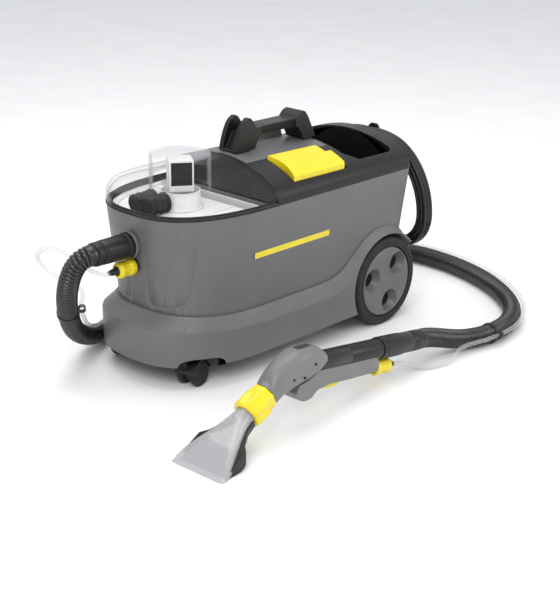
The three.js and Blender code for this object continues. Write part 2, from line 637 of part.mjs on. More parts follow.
function cableSaddle() {
  const top = hankOutline(32 + 0.6).filter(([y, z]) => Math.abs(y) < 75 && z > 280);
  top.sort((a, b) => a[0] - b[0]);
  const under = top.map(([y, z]) => [y, z - 6]).reverse();
  const shelf = prism('x', [...top, ...under], [BODY_REAR + 3.5, HANK_X[1] + 3]);
  const plate = box([BODY_REAR + GAP, BODY_REAR + 4], [-40, 40], [314, 338]);
  const web = prism('y', [[BODY_REAR + 3.5, 314], [BODY_REAR + 3.5, 328], [HANK_X[1], 328]], [-3, 3]);
  return cut(join(shelf, plate, web), rod('x', 3.3, [375, 420], [0, 326], 16));
}

function cableKeeper() {
  const x = HANK_X[1] + 3.4;
  const tab = prism('x', [[-14, 318], [14, 318], [17, 326], [13, 360], [7, 366], [-7, 366], [-13, 360], [-17, 326]], [x, x + 5]);
  return join(tab, rod('x', 3, [x - 12, x + 1], [0, 326], 16));
}

function cableGland() {
  const gland = pipe(9, 4.1, 0, 10, 12);
  return join(gland, pipe(14, 4.1, 6, 10, 12), turned([[4.1, 9.9], [8, 9.9], [5.6, 20], [4.1, 20], [4.1, 9.9]], 12))
    .rotate([0, 90, 0]).translate([333, 80, 285]);
}

function mainsPlug() {
  let plug = turned([[0, 0], [5, 0], [8, 14], [18, 26], [20, 32], [20, 44], [0, 44]], 24);
  plug = join(plug, rod('z', 2.4, [43.9, 62], [9.5, 0], 12), rod('z', 2.4, [43.9, 62], [-9.5, 0], 12));
  return plug.rotate([-90, 0, 0]).translate([375, 28, 168]);
}

// ---------------------------------------------------------------- hand tool, drawn along +X from its mouth
function nozzleSections(grow, from, to) {
  const list = [
    // along, height, lean of the section, half-width, half-depth, squareness
    [0, 0, 0, 57, 9, 7], [12, 9, -20, 54, 10, 6], [34, 22, -40, 45, 11, 5], [62, 37, -55, 31, 13, 3.5],
    [86, 49, -63, 21, 17, 2.6], [103, 57, -65, 18, 18, 2], [118, 64, -65, 18, 18, 2],
  ].slice(from, to);
  return list.map(([s, z, lean, wide, deep, power], k) => {
    const tilt = THREE.MathUtils.degToRad(lean);
    const ring = [];
    for (let i = 0; i < 16; i += 1) {
      const angle = (i / 16) * 2 * Math.PI;
      const [c, d] = [Math.cos(angle), Math.sin(angle)];
      const across = Math.sign(c) * Math.abs(c) ** (2 / power) * (wide + grow);
      const depth = Math.sign(d) * Math.abs(d) ** (2 / power) * (deep + grow);
      const drop = grow < 0 && k === 0 ? -3 : 0;
      ring.push(new THREE.Vector3(s + depth * Math.cos(tilt), across, z + depth * Math.sin(tilt) + drop));
    }
    return ring;
  });
}

function nozzleClear() {
  const bore = aim(rod('z', 16, [-6, 30], [0, 0], 28), NUT_START, NUT_SLOPE);
  return cut(loft(nozzleSections(0)), loft(nozzleSections(-2, 0, 6)), bore);
}

function nozzleBack() {
  const side = [[11.5, 1.2], [24, 0.6], [38, 1], [49, 6], [56, 15], [58, 25], [57, 33], [74, 34], [108, 47], [100, 62], [60, 50], [20, 20]];
  const plan = [[5, -53], [52, -52], [62, -40], [84, -26], [112, -19], [112, 19], [84, 26], [62, 40], [52, 52], [5, 53]];
  const block = prism('y', side, [-60, 60]).intersect(prism('z', plan, [-5, 90]));
  const skin = loft(nozzleSections(GAP));
  const above = prism('y', [[-20, -5], [0, 0], [12, 9], [34, 22], [62, 37], [86, 49], [120, 64], [120, 120], [-20, 120]], [-70, 70]);
  let back = cut(block, skin, above);
  back = cut(back, box([20, 46], [-38, 38], [-2, 6]));
  return back;
}

function unionNut() {
  const nut = turned([[19, 0], [24, 0], [27.5, 4], [27.5, 34], [25.5, 37], [25.5, 48], [23, 51], [19, 51], [19, 0]], 8, Math.PI / 8);
  const bore = rod('z', 18.5, [-1, 60], [0, 0], 36);
  const ribs = [];
  for (let i = 0; i < 8; i += 1) ribs.push(box([24, 28], [-2.2, 2.2], [6, 32]).rotate([0, 0, 22.5 + i * 45]));
  return aim(cut(join(nut, ...ribs), bore).translate([0, 0, 4]), NUT_START, NUT_SLOPE);
}

function toolElbow() {
  const spigot = aim(pipe(18.2, 15.5, 17.5, 62), NUT_START, NUT_SLOPE);
  const collar = aim(pipe(22.5, 15.5, 55.6, 84, 24), NUT_START, NUT_SLOPE);
  const knee = [[146, 98], [158, 114], [178, 124], [200, 122], [214, 108], [214, 84], [190, 74], [172, 66]];
  const block = prism('y', knee, [-22, 22]).intersect(aim(rod('z', 22.5, [60, 140], [0, 0], 24), NUT_START, NUT_SLOPE));
  const core = aim(rod('z', 15.5, [50, 96], [0, 0], 20), NUT_START, NUT_SLOPE);
  return cut(join(spigot, collar, block), core).intersect(prism('y', [[100, 40], [216, 40], [196, 160], [100, 160]], [-40, 40]));
}

function toolHead() {
  const side = [[198, 146], [214, 143], [262, 137], [284, 124], [287, 112], [278, 101], [262, 88], [240, 82], [219, 80], [206, 138], [194, 140]];
  const section = [[-26, 70], [26, 70], [26, 126], [20, 138], [10, 146], [-10, 146], [-20, 138], [-26, 126]];
  let head = prism('y', side, [-27, 27]).intersect(prism('x', section, [150, 300]));
  head = cut(head, box([226, 258], [-8, 8], [124, 160]));
  return cut(head, gripBar(GRIP_R + GAP, -0.6, 200));
}

const gripBar = (radius, from, to) => aim(rod('z', radius, [from, to], [0, 0], 24), GRIP_START, GRIP_SLOPE);

function gripTube() {
  return aim(pipe(GRIP_R, GRIP_R - 2.5, 0, 190, 24), GRIP_START, GRIP_SLOPE);
}

function toolLowerShell() {
  const side = [
    [219.5, 79.4], [212, 66], [224, 50], [238, 45.5], [252, 47], [266, 56], [300, 57], [344, 49.5], [412, 40], [434, 38], [438, 46],
    [434, 62], [400, 78], [288, 98], [279.4, 100.4], [262.4, 87.4], [240, 81.4],
  ];
  let shell = prism('y', side, [-17, 17]);
  shell = cut(shell, gripBar(GRIP_R + GAP, -30, 220));
  shell = cut(shell, prism('y', [[282, 40], [342, 40], [342, 52.5], [398, 45.5], [398, 72], [270, 90], [270, 66]], [-10.5, 10.5]));
  const stub = aim(pipe(8.8, 3, -6, 26, 20), [432, 37.6], GRIP_SLOPE);
  return join(shell, stub);
}

function trigger() {
  const side = [[286, 73], [286, 58], [292, 48], [304, 44.5], [330, 42], [336, 46], [334, 54], [330, 60], [300, 69], [296, 74.5]];
  return prism('y', side, [-9, 9]);
}

function valveBody() {
  const valve = join(rod('z', 5, [0, 34], [0, 0], 16), rod('z', 3, [-6, 1], [0, 0], 12));
  return aim(valve, [352, 59.8], GRIP_SLOPE);
}

const CUFF_START = 190.6; // along the grip
const CUFF_LENGTH = 128;

function toolCuff() {
  const cuff = turned([[15, 0], [20.6, 0], [21, 3], [20.6, 66], [19.4, 69], [19.4, CUFF_LENGTH - 4], [18.4, CUFF_LENGTH],
    [15, CUFF_LENGTH], [15, 0]], 20);
  return aim(cuff.translate([0, 0, CUFF_START]), GRIP_START, GRIP_SLOPE);
}

// ---------------------------------------------------------------- cord routes, in the machine's frame
const HOSE_LOW = 20.8; // the hose's centreline where it lies on the floor
const HOSE_ROUTE = [
  [-360.6, 0, 256], [-369, 0, 256], [-382, 3.5, 251], [-391.5, 10.5, 237], [-395, 20.5, 214], [-391, 34, 186],
  [-380, 50, 156], [-362, 69, 122], [-335, 93, 88], [-296, 121, 57], [-243, 153, 31], [-190, 178, HOSE_LOW],
  [-140, 188, HOSE_LOW], [-70, 194, HOSE_LOW], [20, 198, HOSE_LOW], [130, 200, HOSE_LOW],
  [250, 200, HOSE_LOW], [360, 197, HOSE_LOW], [450, 184, HOSE_LOW], [525, 154, HOSE_LOW],
  [580, 104, HOSE_LOW], [608, 40, HOSE_LOW], [611, -30, HOSE_LOW], [600, -100, HOSE_LOW],
  [576, -172, HOSE_LOW], [540, -240, HOSE_LOW], [492, -300, HOSE_LOW], [436, -342, HOSE_LOW],
  [374, -364, HOSE_LOW], [312, -364, HOSE_LOW], [262, -352, 23.5], [226, -342, 31],
  [192, -333.5, 40.5], [164, -329.8, 47.4], [139.6, -330.2, 51.25],
];

const TUBE_ROUTE = [
  [-324.4, 0, 214], [-334, 0, 214], [-352, 14, 222], [-358, 40, 235], [-366, 74, 246], [-374, 112, 244], [-372, 140, 226],
  [-358, 152, 204], [-348, 140, 188], [-344, 112, 179], [-340, 82, 174], [-339, 58, 168],
];

const TUBE_AT_TOOL = [
  [214, -374, 22], [190, -376, 9], [160, -371, 5], [128, -358, 6], [98, -341, 17], [72, -332.2, 24.6], [63, -332, 26],
];
const TUBE_CLEAR = 25.4; // from the hose's centreline to the tube's
const CLIPPED = [0.072, 0.915]; // the stretch of the hose that the tube is clipped to, as fractions of its length
const TUBE_RIDE = 26;
const HOSE_STEPS = 44;
const CLIPS_AT = [0.078, 0.5, 0.905];
const CLIP_WALL = 1.7; // from the hose's surface to the clip's outside
const LEAD_ROUTE = [[353.4, 80, 285], [362, 80.4, 285.4], [369, 84.5, 288.6], [374.5, 92, 293.8], [375.3, 98, 297.6]];

const hosePath = new THREE.CatmullRomCurve3(HOSE_ROUTE.map((p) => new THREE.Vector3(...p)), false, 'centripetal');

// Where the tube rides at a fraction of the hose: on its right-hand side at the machine, then over to its left.
function besideHose(fraction, distance = TUBE_CLEAR) {
  const at = hosePath.getPointAt(fraction);
  const along = hosePath.getTangentAt(fraction);
  const right = new THREE.Vector3().crossVectors(along, new THREE.Vector3(0, 0, 1)).normalize();
  const up = new THREE.Vector3().crossVectors(right, along);
  const angle = THREE.MathUtils.degToRad(curveValue([[0.1, 20], [0.3, 140], [0.8, 150], [0.93, 175]], fraction));
  return at.addScaledVector(right, distance * Math.cos(angle)).addScaledVector(up, distance * Math.sin(angle));
}

function sprayTube() {
  const ride = [];
  for (let i = 0; i <= TUBE_RIDE; i += 1) {
    ride.push(besideHose(CLIPPED[0] + (CLIPPED[1] - CLIPPED[0]) * i / TUBE_RIDE).toArray());
  }
  return cordAlong([...TUBE_ROUTE, ...ride, ...TUBE_AT_TOOL], TUBE_D, 8, 70);
}

const hoseRoom = cordAlong(HOSE_ROUTE, HOSE_D + GAP, 8, HOSE_STEPS);

// A clip round the hose with a small ring for the tube.
function hoseClip(fraction) {
  const frame = new THREE.Matrix4();
  const along = hosePath.getTangentAt(fraction);
  const at = hosePath.getPointAt(fraction);
  const out = besideHose(fraction).sub(at).normalize();
  frame.makeBasis(out, new THREE.Vector3().crossVectors(along, out), along).setPosition(at);
  const ring = pipe(HOSE_D / 2 + CLIP_WALL, HOSE_D / 2 + 0.5, -4, 4, 16);
  const holder = rod('z', TUBE_D / 2 + 3.2, [-4, 4], [TUBE_CLEAR, 0], 12);
  const clip = cut(join(ring, holder), rod('z', TUBE_D / 2 + 1.2, [-9, 9], [TUBE_CLEAR, 0], 12));
  const fitted = cut(clip, rod('z', HOSE_D / 2 + 0.5, [-9, 9], [0, 0], 16)).transform(frame.elements);
  return cut(fitted, hoseRoom);
}

// ---------------------------------------------------------------- the assembly
const machine = new THREE.Group();
const tool = new THREE.Group();
tool.position.set(...TOOL_AT);
tool.rotation.z = TOOL_HEADING;
machine.add(tool);

function place(group, name, body, material, at = [0, 0, 0]) {
  const mesh = new THREE.Mesh(geometryOf(body), material);
  mesh.name = name;
  mesh.position.set(...at);
  group.add(mesh);
  return mesh;
}

place(machine, 'chassis_bumper', chassisBumper(), GREY);
place(machine, 'fresh_water_tank', freshWaterTank(), GREY);
place(machine, 'top_frame', topFrame(), BLACK);
place(machine, 'fill_liner', fillLiner(), BLACK);
place(machine, 'deck_plate', deckPlate(), GREY);
place(machine, 'suction_switch', suctionSwitch(), YELLOW);
place(machine, 'spray_switch', spraySwitch(), YELLOW);
place(machine, 'carry_handle', carryHandle(), BLACK);
place(machine, 'base_cover', baseCover(), BLACK);
place(machine, 'waste_tank', wasteTank(), WHITE);
place(machine, 'tank_deck', tankDeck(), WHITE);
place(machine, 'inlet_elbow', inletElbow(), BLACK);
place(machine, 'float_cage', floatCage(), WHITE);
place(machine, 'float', floatBall(), WHITE);
place(machine, 'lint_filter', lintFilter(), BLACK);
place(machine, 'lid', lid(), CLEAR);
place(machine, 'lid_seal', lidSeal(), BLACK);
for (const [side, label] of [[-1, 'near'], [1, 'far']]) {
  const turn = (body) => body.rotate([side * -90, 0, 0]);
  const hubY = side * (WHEEL_OUTER_Y + WHEEL_INNER_Y) / 2;
  place(machine, `wheel_disc_${label}`, turn(wheelDisc()), GREY, [WHEEL_X, hubY, WHEEL_Z]);
  place(machine, `tyre_${label}`, turn(tyre()), RUBBER, [WHEEL_X, hubY, WHEEL_Z]);
  const stub = side > 0 ? axleStub() : mirrorY(axleStub());
  place(machine, `axle_stub_${label}`, stub, STEEL, [WHEEL_X, 0, WHEEL_Z]);
  const casterAt = [CASTER_X, side * CASTER_Y, 0];
  place(machine, `caster_fork_${label}`, casterFork(), BLACK, casterAt).rotation.z = CASTER_HEADING;
  place(machine, `caster_wheel_${label}`, casterWheels(), RUBBER, casterAt).rotation.z = CASTER_HEADING;
}
place(machine, 'vacuum_motor', vacuumMotor(), STEEL);
place(machine, 'fan_housing', fanHousing(), BLACK);
place(machine, 'spray_pump', sprayPump(), BLACK);
place(machine, 'pump_line', pumpLine(), RUBBER);
place(machine, 'water_filter', waterFilter(), WHITE);
place(machine, 'suction_port', suctionPort(), GREY);
place(machine, 'spray_port', sprayPort(), BLACK);
place(machine, 'machine_cuff', machineCuff(), BLACK);
place(machine, 'port_sleeve', couplingSleeve(38, 15.2).rotate([0, -90, 0]), YELLOW, [-269.4, 0, SPRAY_Z]);
place(machine, 'port_nipple', nipple(26).rotate([0, -90, 0]), BLACK, [-297.5, 0, SPRAY_Z]);
place(machine, 'cable_saddle', cableSaddle(), BLACK);
place(machine, 'cable_keeper', cableKeeper(), BLACK);
place(machine, 'cable_gland', cableGland(), BLACK);
place(machine, 'power_hank', powerHank(), HOSE);
place(machine, 'mains_plug', mainsPlug(), BLACK);
place(machine, 'suction_hose', cordAlong(HOSE_ROUTE, HOSE_D, 8, HOSE_STEPS), HOSE);

place(machine, 'spray_tube', sprayTube(), CLEAR);
CLIPS_AT.forEach((fraction, i) => place(machine, `hose_clip_${i + 1}`, hoseClip(fraction), BLACK));
place(machine, 'power_lead', cordAlong(LEAD_ROUTE, LEAD_D, 8, 10), HOSE);

place(tool, 'nozzle_clear', nozzleClear(), CLEAR);
place(tool, 'nozzle_back', nozzleBack(), BLACK);
place(tool, 'union_nut', unionNut(), YELLOW);
place(tool, 'tool_elbow', toolElbow(), LIGHT_GREY);
place(tool, 'tool_head', toolHead(), LIGHT_GREY);
place(tool, 'grip_tube', gripTube(), BLACK);
place(tool, 'tool_lower_shell', toolLowerShell(), LIGHT_GREY);
place(tool, 'trigger', trigger(), YELLOW);
place(tool, 'valve_body', valveBody(), BRASS);
place(tool, 'tool_cuff', toolCuff(), BLACK);
place(tool, 'tool_sleeve', aim(couplingSleeve(46, 14.2), [440, 36.2], GRIP_SLOPE), YELLOW);
place(tool, 'tool_nipple', aim(nipple(24), [476, 30.4], GRIP_SLOPE), BLACK);

// The origin is the middle of the machine and its hand tool, at floor level, without the loose hose and leads.
const LOOSE = /hose|spray_tube|nipple|power|plug|clip/;
const bounds = new THREE.Box3();
machine.updateMatrixWorld(true);
machine.traverse((node) => {
  if (node.isMesh && !LOOSE.test(node.name)) bounds.expandByObject(node, true);
});
machine.position.set(-(bounds.min.x + bounds.max.x) / 2, -(bounds.min.y + bounds.max.y) / 2, 0);

export default machine;
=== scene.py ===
"""Spray-extraction carpet cleaner: the looks built around its CAD frame.

Shapes are drawn in the machine's own millimetres (x = 0 near the middle of the machine, y = 0 its centreline,
z = 0 the floor) and placed in the frame by in_row(). Hand-tool shapes are drawn along +x from the nozzle's mouth.
"""
import math

import bmesh
import bpy
from mathutils import Matrix, Vector


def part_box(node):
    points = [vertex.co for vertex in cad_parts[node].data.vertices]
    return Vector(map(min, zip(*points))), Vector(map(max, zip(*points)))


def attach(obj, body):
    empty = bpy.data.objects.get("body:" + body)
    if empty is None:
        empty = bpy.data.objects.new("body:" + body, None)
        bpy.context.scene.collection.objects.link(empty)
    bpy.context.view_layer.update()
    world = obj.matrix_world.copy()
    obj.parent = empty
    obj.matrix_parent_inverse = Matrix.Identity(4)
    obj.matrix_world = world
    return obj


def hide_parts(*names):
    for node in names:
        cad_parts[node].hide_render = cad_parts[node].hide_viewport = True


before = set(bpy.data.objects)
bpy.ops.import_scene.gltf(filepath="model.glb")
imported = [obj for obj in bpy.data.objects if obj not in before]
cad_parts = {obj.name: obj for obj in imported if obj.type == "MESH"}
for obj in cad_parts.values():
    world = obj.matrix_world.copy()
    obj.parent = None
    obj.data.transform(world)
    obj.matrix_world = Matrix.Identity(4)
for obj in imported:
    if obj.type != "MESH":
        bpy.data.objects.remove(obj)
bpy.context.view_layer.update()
scene = bpy.context.scene

# ------------------------------------------------------------------ driving dimensions, in millimetres
MM = 0.001
SEAM_X = -50
RIM_Z = 311
BODY_HALF = 147
BODY_FRONT = -277
BODY_REAR = 340
BODY_BOTTOM = 62
FRONT_DRAFT = 0.137
SIDE_DRAFT = 0.03
REAR_DRAFT, REAR_BREAK_Z = 0.157, 181  # the rear leans in from the rim down to the break
BODY_WALL = 3.5
NOSE_POWER = 2.7
CORNER_R = 18
BUMPER_HALF = 158
BUMPER_FRONT = -290
BUMPER_REAR = 344
BUMPER_BOTTOM = 42
COVER_FRONT_RISE = 69
COVER_REAR_RISE = 60.5
SIDES = ((-1, "near"), (1, "far"))
WHEEL_X, WHEEL_Z = 258.6, 91.4
TYRE_R, DISC_R = 91.4, 71.8
WHEEL_OUTER_Y, WHEEL_INNER_Y = 157.5, 120
WELL_R, WELL_Y = 99, 114
CASTER_X, CASTER_Y, CASTER_SWEEP_R = -202, 92, 47
CASTER_BAY_R, CASTER_BAY_TOP = 57, 60
DOME_X, DOME_R, DOME_TOP = -153.6, 56.1, 399
LID_Z, LID_WALL = 315.3, 3
PORT_Z, SPRAY_Z = 256, 214
CUFF_START_X, CUFF_END_X = -281.4, -360
HOSE_D, HOSE_LOW = 38, 20.8
TUBE_D, LEAD_D = 8, 7.5
FILL = {"x": (178, 305), "y": 122, "chamfer": 24}
PAD = {"front": 6, "rear": 137, "tail": 152, "inner": -64.5, "split": -90.5, "outer": -132}
DECK = {"x": (-46.5, 174), "y": 61}
HANDLE_HALF = 23
WIDE = (-200, 200)  # across and past the whole machine
TOOL_AT = Vector((-437.6, -345.3, 0))
TOOL_HEADING = math.radians(1.5)
GRIP_SLOPE = math.radians(-9)
GRIP_START = (262, 0, 101.2)
GRIP_AIM = (math.cos(GRIP_SLOPE), 0, math.sin(GRIP_SLOPE))
GRIP_R = 19


def machine_origin():
    """The machine's own origin in the row frame: below the line between the two wheels' centres."""
    near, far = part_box("wheel_disc_near"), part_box("wheel_disc_far")
    return Vector(((near[0].x + near[1].x) / 2 - WHEEL_X * MM, (near[0].y + far[1].y) / 2, 0))


ORIGIN = machine_origin()


def in_row(point):
    """A point of the machine in the row frame, in metres."""
    return ORIGIN + Vector(point) * MM


def tool_in_row(point):
    """A point of the hand tool, drawn along +x from its mouth, in the row frame."""
    return in_row(TOOL_AT + Matrix.Rotation(TOOL_HEADING, 3, "Z") @ Vector(point))


def new_object(name, data):
    thing = bpy.data.objects.new(name, data)
    scene.collection.objects.link(thing)
    return thing


# ------------------------------------------------------------------ camera and lights
CAMERA_AT = (-1702.1, -1687.5, 988.8)
CAMERA_YAW = math.radians(47.114)  # from +y towards +x
CAMERA_PITCH = math.radians(20.792)  # downwards
CAMERA_ROLL = math.radians(0.868)
CAMERA_LENS = 78.87


def make_camera():
    camera = new_object("camera", bpy.data.cameras.new("camera"))
    ahead = Vector((
        math.sin(CAMERA_YAW) * math.cos(CAMERA_PITCH),
        math.cos(CAMERA_YAW) * math.cos(CAMERA_PITCH),
        -math.sin(CAMERA_PITCH),
    ))
    right = Vector((math.cos(CAMERA_YAW), -math.sin(CAMERA_YAW), 0))
    up = right.cross(ahead)
    rolled_right = right * math.cos(CAMERA_ROLL) + up * math.sin(CAMERA_ROLL)
    rolled_up = up * math.cos(CAMERA_ROLL) - right * math.sin(CAMERA_ROLL)
    turn = Matrix((rolled_right, rolled_up, -ahead)).transposed().to_4x4()
    camera.matrix_world = Matrix.Translation(in_row(CAMERA_AT)) @ turn
    camera.data.lens = CAMERA_LENS
    camera.data.sensor_width = 36
    camera.data.dof.use_dof = False
    camera.data.clip_end = 50
    scene.camera = camera


def area_light(name, at, target, size, watts):
    light = bpy.data.lights.new(name, "AREA")
    light.size = size
    light.energy = watts
    lamp = new_object(name, light)
    lamp.location = at
    lamp.rotation_euler = (Vector(target) - Vector(at)).to_track_quat("-Z", "Y").to_euler()


def make_studio():
    area_light("key", (-2.2, -1.6, 2.6), (0, 0, 0.2), 1.8, 60)
    area_light("fill", (1.8, -2.6, 1.6), (0.1, 0, 0.15), 1.6, 22)
    area_light("top", (0.2, 0.6, 3.0), (0, 0, 0.2), 2.4, 46)
    world = bpy.data.worlds.new("studio")
    world.use_nodes = True
    sky = world.node_tree.nodes["Background"].inputs
    sky["Color"].default_value = (0.95, 0.97, 1.0, 1)
    sky["Strength"].default_value = 0.75
    scene.world = world
    scene.view_settings.view_transform = "Standard"


def make_floor():
    mesh = bpy.data.meshes.new("floor")
    mesh.from_pydata([(-9, -9, 0), (9, -9, 0), (9, 9, 0), (-9, 9, 0)], [], [(0, 1, 2, 3)])
    floor = new_object("floor", mesh)
    surface = Surface("studio_floor", (0.90, 0.90, 0.90), roughness=0.75)
    surface.speckle(scale=6, amount=0.02)
    floor.data.materials.append(surface.material)


# ------------------------------------------------------------------ materials
class Surface:
    """A procedural material: a Principled shader with helpers that add mottling, grain, scratches and clear rims."""

    def __init__(self, name, colour, roughness=0.5, metallic=0.0, specular=0.5, coat=0.0):
        self.material = bpy.data.materials.new(name)
        self.material.use_nodes = True
        self.nodes = self.material.node_tree.nodes
        self.links = self.material.node_tree.links
        self.shader = self.nodes["Principled BSDF"]
        self.fill(self.shader, {
            "Base Color": (*colour, 1), "Roughness": roughness, "Metallic": metallic, "IOR": 1.49,
            "Specular IOR Level": specular, "Coat Weight": coat, "Coat Roughness": 0.12,
        })
        self.colour, self.roughness = colour, roughness
        self.place = self.nodes.new("ShaderNodeTexCoord").outputs["Object"]
        self.height = None

    def fill(self, node, settings):
        for socket, value in settings.items():
            node.inputs[socket].default_value = value
        return node

    def noise(self, scale, detail=3, stretch=None):
        noise = self.fill(self.nodes.new("ShaderNodeTexNoise"), {"Scale": scale, "Detail": detail})
        source = self.place
        if stretch:
            mapping = self.fill(self.nodes.new("ShaderNodeMapping"), {"Scale": stretch})
            self.links.new(self.place, mapping.inputs["Vector"])
            source = mapping.outputs["Vector"]
        self.links.new(source, noise.inputs["Vector"])
        return noise.outputs["Fac"]

    def spread(self, value, low, high, start=0.3, end=0.7):
        """Maps the values from start to end onto low to high."""
        remap = self.fill(self.nodes.new("ShaderNodeMapRange"), {
            "From Min": start, "From Max": end, "To Min": low, "To Max": high})
        self.links.new(value, remap.inputs["Value"])
        return remap.outputs["Result"]

    def blend_colour(self, factor, other):
        """Mixes another colour over whatever colours the surface so far."""
        mix = self.nodes.new("ShaderNodeMix")
        mix.data_type = "RGBA"
        target = self.shader.inputs["Base Color"]
        if target.is_linked:
            self.links.new(target.links[0].from_socket, mix.inputs["A"])
        else:
            mix.inputs["A"].default_value = target.default_value
        mix.inputs["B"].default_value = (*other, 1)
        self.links.new(factor, mix.inputs["Factor"])
        self.links.new(mix.outputs["Result"], target)

    def speckle(self, scale, amount):
        """Slow, faint drift of colour and gloss."""
        drift = self.noise(scale, 4)
        darker = [c * (1 - 2.2 * amount) for c in self.colour]
        self.blend_colour(self.spread(drift, 0, 1), darker)
        gloss = self.spread(drift, self.roughness * (1 - amount), min(1, self.roughness * (1 + 2 * amount)))
        self.links.new(gloss, self.shader.inputs["Roughness"])

    def bump(self, value, strength, distance):
        bump = self.fill(self.nodes.new("ShaderNodeBump"), {"Strength": strength, "Distance": distance})
        self.links.new(value, bump.inputs["Height"])
        if self.height:
            self.links.new(self.height, bump.inputs["Normal"])
        self.height = bump.outputs["Normal"]
        self.links.new(self.height, self.shader.inputs["Normal"])

    def grain(self, scale, strength):
        self.bump(self.noise(scale, 2), strength, 0.0002)

    def scratches(self, amount):
        """Fine scuffs along the machine's length that catch the light."""
        scuffs = self.noise(220, 5, stretch=(0.12, 1, 1))
        self.blend_colour(self.spread(scuffs, 0, amount, 0.66, 0.78), [min(1, c * 1.8 + 0.05) for c in self.colour])

    def rim_gloss(self, low, high, start):
        """Clear plastic: more of it shows where the surface turns away."""
        facing = self.fill(self.nodes.new("ShaderNodeLayerWeight"), {"Blend": 0.35})
        self.links.new(self.spread(facing.outputs["Facing"], low, high, start, 1), self.shader.inputs["Alpha"])


# name, colour, roughness, other settings, speckle (scale, amount), grain (scale, strength)
SOLID_LOOKS = (
    ("body_grey", (0.128, 0.128, 0.130), 0.42, {}, (14, 0.05), (1500, 0.22)),
    ("light_grey", (0.165, 0.165, 0.167), 0.38, {}, (30, 0.05), (1600, 0.15)),
    ("black_plastic", (0.0105, 0.0090, 0.0086), 0.36, {"specular": 0.4}, (25, 0.12), (1300, 0.3)),
    # a darker copy of black_plastic that shares its slot: the own black of the parts seen through the lid, and painted
    # shade where it lines recesses (caster bays, wheel scoop floors, the knuckle's slot and screw holes, the fill
    # opening)
    ("deep_black_and_shade", (0.004, 0.0035, 0.0035), 0.5, {"specular": 0.25}, (25, 0.12), (1300, 0.3)),
    ("yellow_plastic", (0.80, 0.64, 0.010), 0.3, {"coat": 0.2}, (30, 0.05), (900, 0.06)),
    ("white_plastic", (0.80, 0.80, 0.78), 0.4, {}, (22, 0.04), (1200, 0.12)),
    ("rubber_black", (0.014, 0.014, 0.014), 0.6, {"specular": 0.35}, (40, 0.15), (1100, 0.35)),
    ("tyre_rubber", (0.019, 0.019, 0.0195), 0.6, {"specular": 0.35}, (30, 0.12), (900, 0.4)),
    ("hose_black", (0.009, 0.009, 0.0095), 0.26, {"coat": 0.25}, (40, 0.15), (800, 0.15)),
    ("cable_black", (0.011, 0.011, 0.011), 0.38, {}, (60, 0.12), (900, 0.2)),
    ("brass", (0.66, 0.48, 0.20), 0.28, {"metallic": 1}, (80, 0.06), (700, 0.15)),
)
# name, colour, roughness, specular, rim gloss (low, high, start), ripple (scale, stretch, strength, distance)
CLEAR_LOOKS = (
    ("clear_plastic", (0.26, 0.265, 0.27), 0.06, 0.7, (0.025, 0.85, 0.45), (9, None, 0.08, 0.002)),
    ("clear_dome", (0.42, 0.43, 0.44), 0.08, 0.7, (0.02, 0.85, 0.4), (9, None, 0.08, 0.002)),
    ("clear_fan", (0.52, 0.52, 0.53), 0.1, 0.8, (0.42, 0.92, 0.3), (40, (0.3, 1, 0.3), 0.3, 0.001)),
    ("clear_tube", (0.50, 0.51, 0.52), 0.16, 0.7, (0.22, 0.75, 0.35), (70, None, 0.1, 0.0005)),
)
SLOTS = {"deep_black_and_shade": "black_plastic", "clear_dome": "clear_plastic", "clear_fan": "clear_plastic"}


def make_materials():
    """Each look's material and slot, by name."""
    made = {}
    for name, colour, roughness, settings, speckle, grain in SOLID_LOOKS:
        surface = Surface(name, colour, roughness, **settings)
        surface.speckle(*speckle)
        surface.grain(*grain)
        if name in ("body_grey", "light_grey"):
            surface.scratches(0.08)
        made[name] = surface.material
    for name, colour, roughness, specular, gloss, (scale, stretch, strength, distance) in CLEAR_LOOKS:
        surface = Surface(name, colour, roughness, specular=specular)
        surface.rim_gloss(*gloss)
        surface.bump(surface.noise(scale, 2, stretch), strength, distance)
        made[name] = surface.material
    steel = Surface("steel", (0.56, 0.57, 0.58), roughness=0.3, metallic=1)
    steel.bump(steel.noise(500, 3, stretch=(1, 1, 0.04)), 0.2, 0.0002)
    steel.speckle(30, 0.05)
    made["steel"] = steel.material
    return {name: (material, SLOTS.get(name, name)) for name, material in made.items()}


# ------------------------------------------------------------------ mesh helpers
def build(name, points, faces, place=in_row):
    """A mesh object from points in drawing millimetres, welded, with its faces turned outwards."""
    mesh = bpy.data.meshes.new(name)
    mesh.from_pydata([place(p) for p in points], [], faces)
    body = bmesh.new()
    body.from_mesh(mesh)
    bmesh.ops.remove_doubles(body, verts=body.verts, dist=1e-6)
    bmesh.ops.recalc_face_normals(body, faces=body.faces)
    body.to_mesh(mesh)
    body.free()
    return new_object(name, mesh)


def ring_faces(rings, count, closed=False):
    faces = []
    for k in range(rings if closed else rings - 1):
        for i in range(count):
            a, b = k * count + i, k * count + (i + 1) % count
            up = ((k + 1) % rings - k) * count
            faces.append((a, b, b + up, a + up))
    return faces


def loft(name, rings, place=in_row, bent_caps=False):
    """A closed skin through rings of equal length, with a cap at each end. A bent cap joins each point of a
    ring to the one across from it, for rings whose height changes along the machine."""
    count = len(rings[0])
    points = [p for ring in rings for p in ring]
    faces = ring_faces(len(rings), count)
    for first in (0, len(points) - count):
        if bent_caps:
            for i in range(count // 2 - 1):
                across = first + count - 1 - i
                faces.append((first + i, first + i + 1, across - 1, across))
        else:
            faces.append(tuple(range(first, first + count)))
    return build(name, points, faces, place)


def axes_of(direction):
    """Two unit vectors across a direction."""
    along = Vector(direction).normalized()
    side = along.cross(Vector((0, 0, 1)) if abs(along.z) < 0.9 else Vector((1, 0, 0))).normalized()
    return along, side, side.cross(along)


